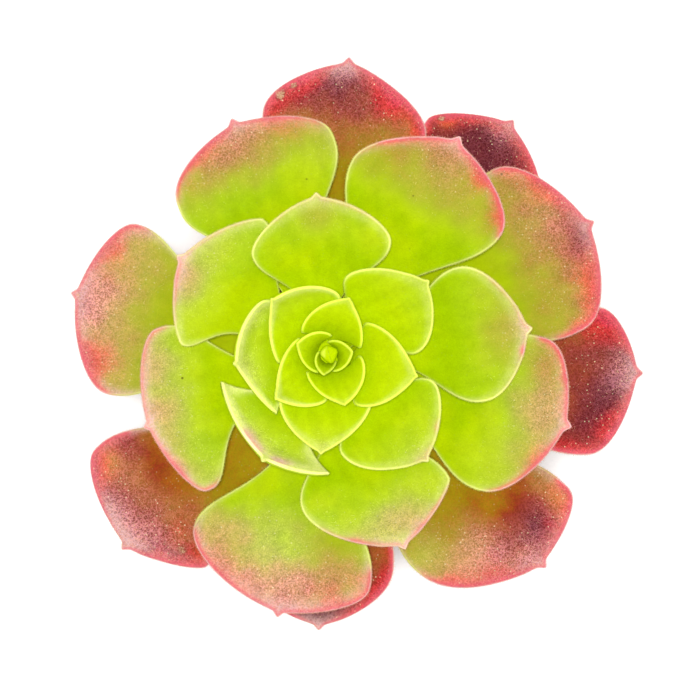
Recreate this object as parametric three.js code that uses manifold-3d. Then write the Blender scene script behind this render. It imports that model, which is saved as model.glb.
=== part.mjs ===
// Aeonium rosette on a short stem, standing in a plain clay pot.
// Millimetres, +Z up. The origin is the middle of the pot's underside.
// Every leaf is drawn in polar rows about the rosette's heart: a row lies at one
// distance from the heart, and its half-width is an arc length on either side.
import * as THREE from 'three';
import Module from 'manifold-3d';

const wasm = await Module();
wasm.setup();

// Pot
const POT_HEIGHT = 66;
const RIM_RADIUS = 38;
const RIM_HEIGHT = 15;
const RIM_LEDGE = 2.6;
const POT_TOP_RADIUS = 34.2;
const POT_BASE_RADIUS = 25.5;
const POT_WALL = 3.4;
const POT_FLOOR = 4;
const DRAIN_RADIUS = 6;
const POT_SIDES = 48;

// Soil
const SOIL_LEVEL = 58.5;
const SOIL_DOME = 1.6;
const SOIL_GAP = 0.3;
const SOIL_RINGS = 6;
const SOIL_SIDES = 32;

// Stem
const STEM_FOOT = new THREE.Vector3(-3.6, -1.6, 48);
const STEM_TOP_Z = 102.1;
const STEM_FOOT_RADIUS = 5.9;
const STEM_SCARS = 13;
const STEM_SIDES = 16;
const STEM_RINGS = 22;
const HOLE_GAP = 0.3;

// Rosette
const HEART = new THREE.Vector2(-6.54, -2.34);
const GOLDEN_ANGLE = 137.5;
const FIRST_BASE_AZIMUTH = 245.8;
const NECK = 1.35;
const BLADE_END = 0.97;
const SMALL_BLADE_END = 0.98;
const LARGE_FROM = 14;

// One leaf an entry, from the heart outward: its order on the stem, the azimuth and
// distance of its tip, then for its left and right side
// [half-width, where along the reach it is widest, tip fullness, neck, base half-width].
// rim is how far the outer edge is turned up and from where; sharp names the sides whose
// widest place is a corner.
const LEAVES = [
  { order: 0, azimuth: 257, reach: 3.8, left: [2.9, 0.55, 2.0], right: [4.0, 0.62, 2.0] },
  { order: 1, azimuth: 12, reach: 5.3, left: [4.1, 0.6, 2.0], right: [4.8, 0.66, 2.0] },
  { order: 2, azimuth: 156, reach: 6.9, left: [5.2, 0.58, 2.0], right: [6.2, 0.72, 2.5] },
  { order: 3, azimuth: 290, reach: 10.6, left: [8.4, 0.68, 2.2], right: [7.4, 0.52, 1.2] },
  { order: 4, azimuth: 70, reach: 13.1, left: [8.6, 0.6, 1.6], right: [7.0, 0.56, 1.2] },
  { order: 5, azimuth: 219, reach: 13.9, left: [8.0, 0.66, 1.5], right: [8.8, 0.53, 1.0], rim: [2.5, 0.75] },
  { order: 6, azimuth: 348, reach: 19.0, left: [9.9, 0.58, 1.5], right: [9.7, 0.62, 1.8] },
  { order: 7, azimuth: 134, reach: 16.8, left: [9.9, 0.63, 1.0], right: [12.4, 0.78, 2.0], rim: [3.5, 0.74] },
  { order: 8, azimuth: 266, reach: 20.2, left: [11.2, 0.66, 1.3], right: [10.5, 0.68, 1.6] },
  { order: 9, azimuth: 37, reach: 26.2, left: [12.0, 0.67, 1.6], right: [11.7, 0.72, 2.2] },
  {
    order: 10, azimuth: 184, reach: 19.6, left: [12.8, 0.82, 0.6], right: [14.6, 0.86, 4.5],
    rim: [5, 0.78], sharp: ['left'],
  },
  { order: 11, azimuth: 314, reach: 30.0, left: [13.2, 0.76, 1.8, 1.5], right: [12.9, 0.7, 2.2] },
  { order: 12, azimuth: 94, reach: 34.1, left: [14.8, 0.76, 2.2], right: [15.6, 0.8, 2.8] },
  {
    order: 13, azimuth: 238, reach: 25.5, left: [14.3, 0.95, 1.2, 2.8], right: [18.2, 0.894, 0.8, 1.77],
    rim: [7, 0.8], sharp: ['left', 'right'],
  },
  { order: 14, azimuth: 8, reach: 42.7, left: [15.5, 0.77, 2.3], right: [14.5, 0.77, 2.7] },
  { order: 15, azimuth: 146, reach: 37.8, left: [16.0, 0.81, 1.7, 2.4, 5.0], right: [16.9, 0.83, 1.5] },
  { order: 16, azimuth: 292, reach: 43.1, left: [14.6, 0.84, 2.1], right: [17.5, 0.76, 2.2] },
  { order: 17, azimuth: 59, reach: 53.3, left: [17.2, 0.79, 2.2], right: [18.6, 0.84, 3.0] },
  { order: 18, azimuth: 201, reach: 41.3, left: [18.1, 0.89, 4.5, 2.15], right: [20.1, 0.86, 5.0] },
  { order: 19, azimuth: 344, reach: 52.9, left: [17.2, 0.82, 4.5], right: [18.8, 0.79, 2.6] },
  { order: 20, azimuth: 112, reach: 53.8, left: [18.0, 0.8, 3.6, 1.75], right: [19.0, 0.84, 3.8, 1.5] },
  { order: 21, azimuth: 259, reach: 55.6, left: [18.6, 0.86, 4.2], right: [21.8, 0.82, 2.8, 1.7] },
  { order: 22, azimuth: 27, reach: 62.7, left: [20.4, 0.83, 4.0], right: [20.5, 0.82, 4.8] },
  { order: 23, azimuth: 166, reach: 55.9, left: [19.3, 0.86, 3.0], right: [18.4, 0.88, 3.8, 1.6] },
  { order: 24, azimuth: 316, reach: 64.0, left: [15.8, 0.88, 6.5], right: [19.9, 0.76, 2.6] },
  { order: 25, azimuth: 86, reach: 63.6, left: [17.9, 0.85, 3.8], right: [18.3, 0.81, 2.5] },
  { order: 26, azimuth: 223, reach: 60.0, left: [15.6, 0.86, 1.8], right: [20.3, 0.87, 3.6, 1.5] },
  { order: 27, azimuth: 357, reach: 67.1, left: [14.0, 0.87, 2.4], right: [18.7, 0.83, 4.4] },
  { order: 29, azimuth: 268, reach: 58.7, left: [16.0, 0.79, 2.8], right: [16.0, 0.8, 3.0] },
  { order: 30, azimuth: 52, reach: 64.6, left: [15.2, 0.86, 1.6], right: [16.0, 0.85, 3.0] },
];

// The bud's own three scales, on the core's side.
const SCALES = [
  { order: -1, azimuth: 113, reach: 2.3, left: [1.7, 0.6, 2.0], right: [1.7, 0.6, 2.0] },
  { order: -2, azimuth: 330, reach: 2.0, left: [1.15, 0.6, 2.0], right: [1.15, 0.6, 2.0] },
];
// The core's [height, radius] from its foot to its closed top.
const CORE = [[102.5, 0.5], [103.6, 0.75], [105.2, 1.05], [106.6, 1.35], [107.8, 1.55], [108.8, 1.3], [109.4, 0.6]];

// How a leaf changes from the heart outward: [order, value] steps, read in between.
const BY_ORDER = {
  baseRadius: [[-2, 0.3], [-1, 0.4], [0, 1.3], [1, 1.8], [4, 3.0], [14, 6.2], [30, 6.3]],
  baseHeight: [[-2, 103.6], [0, 103.0], [1, 102.3], [4, 100.5], [14, 97.3], [30, 86.5]],
  baseSlope: [[-2, 80], [0, 79.5], [1, 76.5], [2, 73], [3, 67.5], [6, 60], [9, 50], [12, 42], [17, 33], [22, 27], [30, 19]],
  tipSlope: [[-2, 70], [0, 66], [3, 44], [6, 34], [9, 24], [12, 16], [17, 7], [22, 0], [30, -10]],
  thickness: [[0, 0.7], [3, 1.0], [5, 1.2], [14, 2.0], [30, 2.2]],
  margin: [[0, 0.6], [14, 0.8], [30, 0.9]],
  cup: [[0, 0.1], [8, 0.1], [14, 0.06], [22, 0.03], [30, -0.04]],
  baseHalfWidth: [[-2, 0.5], [0, 0.7], [14, 2.6], [30, 3.0]],
};
const TWIST = 0.035;
const RIPPLE = 0.018;

const clamp01 = (x) => Math.min(1, Math.max(0, x));
const lerp = THREE.MathUtils.lerp;

function byOrder(name, order) {
  const steps = BY_ORDER[name];
  if (order <= steps[0][0]) return steps[0][1];
  for (let i = 1; i < steps.length; i += 1) {
    const [from, a] = steps[i - 1];
    const [to, b] = steps[i];
    if (order <= to) return lerp(a, b, (order - from) / (to - from));
  }
  return steps[steps.length - 1][1];
}

const bladeStart = (leaf) => byOrder('baseRadius', leaf.order) / leaf.reach;
const bladeEnd = (leaf) => (leaf.reach > 15 ? BLADE_END : SMALL_BLADE_END);

// Half-width of one side of the blade at u, the distance from the heart over the reach.
function halfWidth(leaf, side, u) {
  const [width, widest, fullness, neck = NECK, base = byOrder('baseHalfWidth', leaf.order)] = leaf[side];
  const sharp = leaf.sharp !== undefined && leaf.sharp.includes(side);
  const start = bladeStart(leaf);
  const end = bladeEnd(leaf);
  let blade;
  if (u < widest) {
    const t = clamp01((u - start) / (widest - start)) ** neck;
    blade = base + (width - base) * (sharp ? t : t * t * (3 - 2 * t));
  } else {
    blade = width * (1 - clamp01((u - widest) / (end - widest)) ** fullness);
  }
  const short = Math.min((1 - u) * leaf.reach, 2.2);
  const point = (0.12 + 0.5 * short + 0.13 * short * short) * clamp01((u - 0.88) / 0.07);
  return Math.hypot(blade, point);
}

// Middle surface of a leaf at u and at an arc distance off its middle line, positive to the left.
function leafPoint(leaf, u, offset) {
  const { order, reach } = leaf;
  const start = bladeStart(leaf);
  const x = (u - start) / (1 - start);
  const rho = u * reach;
  const base = FIRST_BASE_AZIMUTH + GOLDEN_ANGLE * order;
  const sway = THREE.MathUtils.euclideanModulo(leaf.azimuth - base + 180, 360) - 180;
  const azimuth = THREE.MathUtils.degToRad(base + sway * x * (2 - x)) + offset / rho;

  const slope0 = Math.tan(THREE.MathUtils.degToRad(byOrder('baseSlope', order)));
  const slope1 = Math.tan(THREE.MathUtils.degToRad(byOrder('tipSlope', order)));
  const mean = (leaf.left[0] + leaf.right[0]) / 2;
  const across = Math.abs(offset) / mean;
  let z = byOrder('baseHeight', order);
  z += (1 - start) * reach * (slope0 * x + ((slope1 - slope0) * x * x) / 2);
  z += byOrder('cup', order) * mean * across ** 2 * Math.min(1, 1.6 * x);
  z += TWIST * Math.sin(2.4 * order + 0.6) * offset * x;
  const wave = Math.sin(2 * Math.PI * (1.6 * u + 0.37 * order + 0.25 * Math.sign(offset)));
  z += RIPPLE * mean * across ** 3 * wave * x;
  if (leaf.rim) {
    const [height, from] = leaf.rim;
    z += height * clamp01((u - from) / (1 - from)) ** 2;
  }
  return new THREE.Vector3(HEART.x + rho * Math.cos(azimuth), HEART.y + rho * Math.sin(azimuth), z);
}

function leafNormal(leaf, u, offset) {
  const du = 0.01;
  const step = 0.3;
  const outer = Math.min(1, u + du);
  const along = leafPoint(leaf, outer, offset).sub(leafPoint(leaf, outer - 2 * du, offset));
  const across = leafPoint(leaf, u, offset + step).sub(leafPoint(leaf, u, offset - step));
  return along.cross(across).normalize();
}

function leafThickness(leaf, u, v) {
  const margin = byOrder('margin', leaf.order);
  const full = lerp(margin, byOrder('thickness', leaf.order), 1 - Math.abs(v) ** 3);
  return lerp(Math.max(0.6, 0.8 * margin), full, Math.sqrt(clamp01((1 - u) / 0.25)));
}

// Rows of a leaf as values of u: evenly spaced along its margins as far as the blade goes,
// then one half way up its point and one at the end of it.
function rowPlaces(leaf, rows) {
  const start = bladeStart(leaf);
  const end = bladeEnd(leaf);
  const samples = 200;
  const outline = Array.from({ length: samples + 1 }, (_, k) => {
    const u = lerp(start, end, k / samples);
    const mean = (halfWidth(leaf, 'left', u) + halfWidth(leaf, 'right', u)) / 2;
    return new THREE.Vector2(u * leaf.reach, mean);
  });
  const lengths = [0];
  for (let k = 1; k <= samples; k += 1) {
    lengths.push(lengths[k - 1] + outline[k].distanceTo(outline[k - 1]));
  }
  const places = [];
  for (let i = 0; i <= rows - 2; i += 1) {
    const goal = lengths[samples] * (i / (rows - 2));
    const k = Math.max(1, lengths.findIndex((length) => length >= goal));
    const part = (goal - lengths[k - 1]) / (lengths[k] - lengths[k - 1]);
    places.push(lerp(start, end, (k - 1 + part) / samples));
  }
  return [...places, (end + 1) / 2, 1];
}

// Closed solid of a leaf: an upper and a lower face with the same rows and columns,
// joined along both margins, at the base and at the tip.
function leafGeometry(leaf) {
  const large = leaf.order >= LARGE_FROM;
  const rows = large ? 13 : 9;
  const columns = large ? 8 : 6;
  const places = rowPlaces(leaf, rows);
  const positions = [];
  const index = [];
  const stride = columns + 1;
  const face = (rows + 1) * stride;
  for (const sign of [1, -1]) {
    for (let i = 0; i <= rows; i += 1) {
      const u = places[i];
      for (let j = 0; j <= columns; j += 1) {
        const v = -1 + (2 * j) / columns;
        const offset = v * halfWidth(leaf, v > 0 ? 'left' : 'right', u);
        const p = leafPoint(leaf, u, offset);
        p.addScaledVector(leafNormal(leaf, u, offset), (sign * leafThickness(leaf, u, v)) / 2);
        positions.push(p.x, p.y, p.z);
      }
    }
  }
  const top = (i, j) => i * stride + j;
  const under = (i, j) => face + i * stride + j;
  const quad = (a, b, c, d) => index.push(a, b, c, a, c, d);
  for (let i = 0; i < rows; i += 1) {
    for (let j = 0; j < columns; j += 1) {
      quad(top(i, j), top(i + 1, j), top(i + 1, j + 1), top(i, j + 1));
      index.push(under(i, j), under(i + 1, j + 1), under(i + 1, j));
      index.push(under(i, j), under(i, j + 1), under(i + 1, j + 1));
    }
    quad(top(i, 0), under(i, 0), under(i + 1, 0), top(i + 1, 0));
    quad(top(i, columns), top(i + 1, columns), under(i + 1, columns), under(i, columns));
  }
  for (let j = 0; j < columns; j += 1) {
    quad(top(0, j), top(0, j + 1), under(0, j + 1), under(0, j));
    quad(top(rows, j), under(rows, j), under(rows, j + 1), top(rows, j + 1));
  }
  return solid(positions, index);
}

function solid(positions, index) {
  const geometry = new THREE.BufferGeometry();
  geometry.setAttribute('position', new THREE.Float32BufferAttribute(positions, 3));
  geometry.setIndex(index);
  geometry.computeVertexNormals();
  return geometry;
}

// Closed solid swept from a list of closed rings that all have the same count.
function ringsGeometry(rings, capped) {
  const sides = rings[0].length;
  const positions = rings.flat().flatMap((p) => [p.x, p.y, p.z]);
  const index = [];
  const count = rings.length;
  const spans = capped ? count - 1 : count;
  for (let i = 0; i < spans; i += 1) {
    for (let k = 0; k < sides; k += 1) {
      const a = i * sides + k;
      const b = i * sides + ((k + 1) % sides);
      const c = ((i + 1) % count) * sides + ((k + 1) % sides);
      const d = ((i + 1) % count) * sides + k;
      index.push(a, b, c, a, c, d);
    }
  }
  if (capped) {
    for (const [i, turn] of [[0, 1], [count - 1, 0]]) {
      const middle = new THREE.Vector3();
      rings[i].forEach((p) => middle.addScaledVector(p, 1 / sides));
      const hub = positions.length / 3;
      positions.push(middle.x, middle.y, middle.z);
      for (let k = 0; k < sides; k += 1) {
        const a = i * sides + k;
        const b = i * sides + ((k + 1) % sides);
        if (turn) index.push(hub, b, a);
        else index.push(hub, a, b);
      }
    }
  }
  return solid(positions, index);
}

function circle(x, y, z, radius, sides, phase = 0) {
  return Array.from({ length: sides }, (_, k) => {
    const a = (2 * Math.PI * k) / sides + phase;
    return new THREE.Vector3(x + radius * Math.cos(a), y + radius * Math.sin(a), z);
  });
}

const toManifold = (geometry) => new wasm.Manifold(new wasm.Mesh({
  numProp: 3,
  vertProperties: new Float32Array(geometry.getAttribute('position').array),
  triVerts: new Uint32Array(geometry.getIndex().array),
}));

function fromManifold(body) {
  const mesh = body.getMesh();
  return solid(Array.from(mesh.vertProperties), Array.from(mesh.triVerts));
}

// Pot: the outer wall with its rim band, the inner wall, the floor and the drain hole.
function potGeometry() {
  const ledge = POT_HEIGHT - RIM_HEIGHT;
  const outerAt = (z) => lerp(POT_BASE_RADIUS, POT_TOP_RADIUS, z / ledge);
  const profile = [
    [DRAIN_RADIUS, 0],
    [POT_BASE_RADIUS - 1, 0],
    [POT_BASE_RADIUS, 1],
    [outerAt(ledge), ledge],
    [RIM_RADIUS - 1.8, ledge + 0.4],
    [RIM_RADIUS - 0.9, ledge + RIM_LEDGE],
    [RIM_RADIUS, POT_HEIGHT - 1.6],
    [RIM_RADIUS - 0.6, POT_HEIGHT - 0.4],
    [RIM_RADIUS - 1.6, POT_HEIGHT],
    [RIM_RADIUS - POT_WALL - 0.6, POT_HEIGHT],
    [RIM_RADIUS - POT_WALL - 1.4, POT_HEIGHT - 1],
    [POT_TOP_RADIUS - POT_WALL, ledge],
    [POT_BASE_RADIUS - POT_WALL + 1, POT_FLOOR + 2],
    [POT_BASE_RADIUS - POT_WALL - 1, POT_FLOOR],
    [DRAIN_RADIUS - 0.4, POT_FLOOR],
  ];
  return ringsGeometry(profile.map(([r, z]) => circle(0, 0, z, r, POT_SIDES)), false);
}

// Inner radius of the pot at a height above its floor.
function innerRadius(z) {
  const ledge = POT_HEIGHT - RIM_HEIGHT;
  const low = POT_BASE_RADIUS - POT_WALL + 1;
  const mid = POT_TOP_RADIUS - POT_WALL;
  if (z < ledge) return lerp(low, mid, (z - POT_FLOOR - 2) / (ledge - POT_FLOOR - 2));
  return lerp(mid, RIM_RADIUS - POT_WALL - 1.4, (z - ledge) / (RIM_HEIGHT - 1));
}

function stemAxis(z) {
  const t = (z - STEM_FOOT.z) / (STEM_TOP_Z - 4 - STEM_FOOT.z);
  const ease = clamp01(t) ** 0.8;
  return new THREE.Vector3(lerp(STEM_FOOT.x, HEART.x, ease), lerp(STEM_FOOT.y, HEART.y, ease), z);
}

// Radius of the stem: nearly even below the leaves, then a cone up to the growing point.
function stemRadius(z) {
  const steps = [[STEM_FOOT.z, STEM_FOOT_RADIUS], [70, 5.4], [85, 5.15], [97.6, 5.1], [99.4, 3.2],
    [100.5, 1.95], [101.6, 0.8], [STEM_TOP_Z, 0.45]];
  for (let i = 1; i < steps.length; i += 1) {
    if (z <= steps[i][0]) {
      return lerp(steps[i - 1][1], steps[i][1], (z - steps[i - 1][0]) / (steps[i][0] - steps[i - 1][0]));
    }
  }
  return steps[steps.length - 1][1];
}

// Leaf scars follow on from the leaves' spiral down the stem.
function stemRelief(z, angle) {
  let relief = 0;
  for (let i = 0; i < STEM_SCARS; i += 1) {
    const azimuth = THREE.MathUtils.degToRad(FIRST_BASE_AZIMUTH + GOLDEN_ANGLE * (31 + i));
    const height = 83.6 - 1.75 * i;
    let turn = THREE.MathUtils.euclideanModulo(angle - azimuth + Math.PI, 2 * Math.PI) - Math.PI;
    turn *= STEM_FOOT_RADIUS / 3.2;
    const drop = (z - height) / 1.5;
    relief += 0.4 * Math.exp(-(turn * turn + drop * drop));
  }
  return Math.min(0.45, relief);
}

function stemGeometry() {
  const rings = [];
  const cone = [98.6, 99.4, 100.5, 101.3, 101.8, STEM_TOP_Z];
  const heights = Array.from({ length: STEM_RINGS }, (_, i) => lerp(STEM_FOOT.z, 98, i / (STEM_RINGS - 1)));
  for (const z of [...heights, ...cone]) {
    const centre = stemAxis(z);
    const ring = circle(centre.x, centre.y, z, 1, STEM_SIDES);
    ring.forEach((p, k) => {
      const angle = (2 * Math.PI * k) / STEM_SIDES;
      const r = stemRadius(z) + (z > 60 && z < 84.5 ? stemRelief(z, angle) : 0);
      p.set(centre.x + r * Math.cos(angle), centre.y + r * Math.sin(angle), z);
    });
    rings.push(ring);
  }
  return ringsGeometry(rings, true);
}

// Soil: a filled body with a gently uneven top and a plain hole for the stem.
function soilGeometry() {
  const rings = [];
  const low = POT_FLOOR + SOIL_GAP;
  const wall = (z) => innerRadius(z) - SOIL_GAP / Math.cos(Math.PI / SOIL_SIDES) - 0.15;
  rings.push(circle(0, 0, low, POT_BASE_RADIUS - POT_WALL - 1.6, SOIL_SIDES));
  rings.push(circle(0, 0, POT_FLOOR + 2.4, wall(POT_FLOOR + 2.2) - 0.3, SOIL_SIDES));
  rings.push(circle(0, 0, POT_HEIGHT - RIM_HEIGHT, wall(POT_HEIGHT - RIM_HEIGHT), SOIL_SIDES));
  rings.push(circle(0, 0, SOIL_LEVEL - 0.8, wall(SOIL_LEVEL - 0.8), SOIL_SIDES));
  const edge = wall(SOIL_LEVEL - 0.8);
  for (let i = 0; i < SOIL_RINGS; i += 1) {
    const t = 1 - (i + 0.35) / SOIL_RINGS;
    rings.push(circle(0, 0, SOIL_LEVEL, edge * t, SOIL_SIDES).map((p) => {
      const uneven = 0.5 * Math.sin(0.31 * p.x + 1.1) * Math.cos(0.27 * p.y - 0.4);
      return p.setZ(SOIL_LEVEL + SOIL_DOME * (1 - t * t) + uneven);
    }));
  }
  const body = toManifold(ringsGeometry(rings, true));
  const hole = [];
  for (let i = 0; i <= 6; i += 1) {
    const z = lerp(STEM_FOOT.z - HOLE_GAP, SOIL_LEVEL + 6, i / 6);
    const c = stemAxis(z);
    hole.push(circle(c.x, c.y, z, STEM_FOOT_RADIUS + HOLE_GAP + 0.1, STEM_SIDES));
  }
  return fromManifold(body.subtract(toManifold(ringsGeometry(hole, true))));
}

// Bud at the heart: a small closed core with its own scales.
function budGeometry() {
  const rings = CORE.map(([z, radius]) => circle(HEART.x, HEART.y, z, radius, 12));
  let body = toManifold(ringsGeometry(rings, true));
  for (const scale of SCALES) {
    body = body.add(toManifold(leafGeometry(scale)));
  }
  return fromManifold(body);
}

const CLAY = { color: 0xb8633c, roughness: 0.85, metalness: 0 };
const SOIL = { color: 0x4a3b2e, roughness: 1, metalness: 0 };
const BARK = { color: 0x7d6a4c, roughness: 0.9, metalness: 0 };
const LIME = new THREE.Color(0xb9dd2c);
const BLUSH = new THREE.Color(0xa8443c);

const group = new THREE.Group();
group.name = 'potted_aeonium';

function addPiece(name, geometry, finish) {
  const mesh = new THREE.Mesh(geometry, new THREE.MeshStandardMaterial(finish));
  mesh.name = name;
  group.add(mesh);
}

addPiece('pot', potGeometry(), CLAY);
addPiece('soil', soilGeometry(), SOIL);
addPiece('stem', stemGeometry(), BARK);
addPiece('heart_bud', budGeometry(), { color: LIME.getHex(), roughness: 0.6, metalness: 0 });
LEAVES.forEach((leaf, i) => {
  const colour = LIME.clone().lerp(BLUSH, clamp01((leaf.order - 12) / 18) ** 1.3);
  const name = `leaf_${String(i + 1).padStart(2, '0')}`;
  addPiece(name, leafGeometry(leaf), { color: colour.getHex(), roughness: 0.6, metalness: 0 });
});

export default group;
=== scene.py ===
"""Look of the potted aeonium: its leaves, stem, soil and clay pot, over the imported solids.

Lengths in the classes are in millimetres and become metres where a mesh is made.
"""

import logging
import math
from dataclasses import dataclass, field
from enum import Enum

import bpy
import numpy as np
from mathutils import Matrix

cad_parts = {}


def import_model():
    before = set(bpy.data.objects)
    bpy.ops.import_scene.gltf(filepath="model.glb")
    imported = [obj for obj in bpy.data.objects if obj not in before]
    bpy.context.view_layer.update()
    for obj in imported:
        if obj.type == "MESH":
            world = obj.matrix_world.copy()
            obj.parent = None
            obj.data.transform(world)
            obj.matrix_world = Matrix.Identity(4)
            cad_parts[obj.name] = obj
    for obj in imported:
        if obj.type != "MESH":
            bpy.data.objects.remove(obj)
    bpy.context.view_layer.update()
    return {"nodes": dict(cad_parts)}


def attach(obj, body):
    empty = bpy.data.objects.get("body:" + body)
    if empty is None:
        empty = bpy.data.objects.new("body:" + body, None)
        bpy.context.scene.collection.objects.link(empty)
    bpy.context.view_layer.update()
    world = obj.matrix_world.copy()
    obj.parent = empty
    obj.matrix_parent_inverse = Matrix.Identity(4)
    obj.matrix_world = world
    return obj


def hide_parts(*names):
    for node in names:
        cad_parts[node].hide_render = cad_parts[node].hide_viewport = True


MM = 0.001
LOG = logging.getLogger("aeonium")

Array = np.ndarray
Colour = tuple[int, int, int]
Stops = tuple[tuple[float, Colour], ...]
Socket = bpy.types.NodeSocket

# The place of the heart from above, and the spiral: its first leaf's azimuth and the turn from leaf to leaf.
HEART = (-6.54, -2.34)
FIRST_AZIMUTH = 245.8
GOLDEN_ANGLE = 137.5


class Slot(Enum):
    """Names of the material slots."""

    CLAY = "clay"
    SOIL = "soil"
    BARK = "bark"
    GREEN = "leaf_green"
    BLUSH = "leaf_blush"
    RED = "leaf_red"


# Small helpers


def linear(colour: Colour) -> tuple[float, float, float, float]:
    """Scene-linear colour of an eight-bit display colour: the display curve undone, channel by channel."""
    c = np.array(colour, dtype=float) / 255.0
    c = np.where(c <= 0.04045, c / 12.92, ((c + 0.055) / 1.055) ** 2.4)
    return (float(c[0]), float(c[1]), float(c[2]), 1.0)


def smooth(t: Array | float) -> Array:
    """Smooth step: three t squared minus two t cubed, with t held between 0 and 1."""
    t = np.clip(t, 0.0, 1.0)
    return t * t * (3.0 - 2.0 * t)


def stepped(steps: list[tuple[float, float]], x: float) -> float:
    """Value at x, read in a straight line between the steps' (place, value) pairs."""
    places, values = zip(*steps)
    return float(np.interp(x, places, values))


def columns_at(spot: Array, length: Array, rows: Array) -> Array:
    """Rows of points or vectors read at places along a line, in a straight line between them."""
    return np.stack([np.interp(spot, length, rows[:, k]) for k in range(rows.shape[1])], axis=-1)


def unit(vectors: Array) -> Array:
    """Vectors in the last axis divided by their lengths."""
    return vectors / np.maximum(np.linalg.norm(vectors, axis=-1, keepdims=True), 1e-9)


def circle(around: int) -> Array:
    """Angles of evenly spaced points on a full turn."""
    return np.linspace(0.0, math.tau, around, endpoint=False)


def ripple(x: Array, y: Array, seed: float, scale: float) -> Array:
    """Sum of five turned sine waves of falling height, a smooth uneven field between about -1 and 1.

    Args:
        x: First coordinate.
        y: Second coordinate.
        seed: Moves and turns the waves.
        scale: Length of the longest wave, in the coordinates' unit.

    Returns:
        The field's value at each point.
    """
    total = np.zeros(np.broadcast(x, y).shape)
    for k in range(5):
        turn = seed * 1.7 + 2.4 * k
        wave = math.tau / scale * (1.0 + 0.62 * k)
        along = x * math.cos(turn) + y * math.sin(turn)
        total = total + np.sin(wave * along + seed * 5.1 + k) / (1.0 + 0.8 * k)
    return total / 2.2


def turned(radius: Array, height: Array, around: int) -> Array:
    """Points of a turned surface: each profile point swept in a circle about the pot's axis.

    Args:
        radius: Profile radii.
        height: Profile heights.
        around: Points around.

    Returns:
        Points by ring, with shape (profile, around, 3).
    """
    angle = circle(around)
    r = radius[:, None]
    return np.stack([r * np.cos(angle), r * np.sin(angle), height[:, None] + 0.0 * angle], axis=-1)


def ring_faces(rings: int, around: int) -> Array:
    """Four-cornered faces between neighbouring closed rings of points numbered ring by ring.

    Args:
        rings: How many rings there are.
        around: How many points a ring has.

    Returns:
        One row a face, four columns.
    """
    i, k = np.meshgrid(np.arange(rings - 1), np.arange(around), indexing="ij")
    a = i * around + k
    b = i * around + (k + 1) % around
    return np.stack([a, b, b + around, a + around], axis=-1).reshape(-1, 4)


def fan_faces(ring: int, around: int, hub: int, outward: bool) -> Array:
    """Three-cornered faces from a hub point to a closed ring.

    Args:
        ring: Number of the ring's first point.
        around: How many points the ring has.
        hub: Number of the hub point.
        outward: Turns the faces the way the ring runs.

    Returns:
        One row a face, three columns.
    """
    k = np.arange(around)
    a = ring + k
    b = ring + (k + 1) % around
    middle = np.full(around, hub)
    return np.stack([middle, a, b] if outward else [middle, b, a], axis=-1)


def closed(rings: Array, ends: Array | None = None, flip: bool = False) -> tuple[Array, list[Array]]:
    """A closed skin over a stack of rings, with a fan to a hub at each end.

    Args:
        rings: Points by ring, with shape (rings, around, 3).
        ends: The two hubs; the middles of the end rings where it is left out.
        flip: Turns the faces, for rings that run the other way.

    Returns:
        The points with the hubs last, and the blocks of faces.
    """
    rows, around = rings.shape[:2]
    count = rows * around
    if ends is None:
        ends = np.stack([rings[0].mean(axis=0), rings[-1].mean(axis=0)])
    faces = [
        ring_faces(rows, around),
        fan_faces(0, around, count, False),
        fan_faces(count - around, around, count + 1, True),
    ]
    faces = [block[:, ::-1] for block in faces] if flip else faces
    return np.concatenate([rings.reshape(-1, 3), ends]), faces


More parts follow.
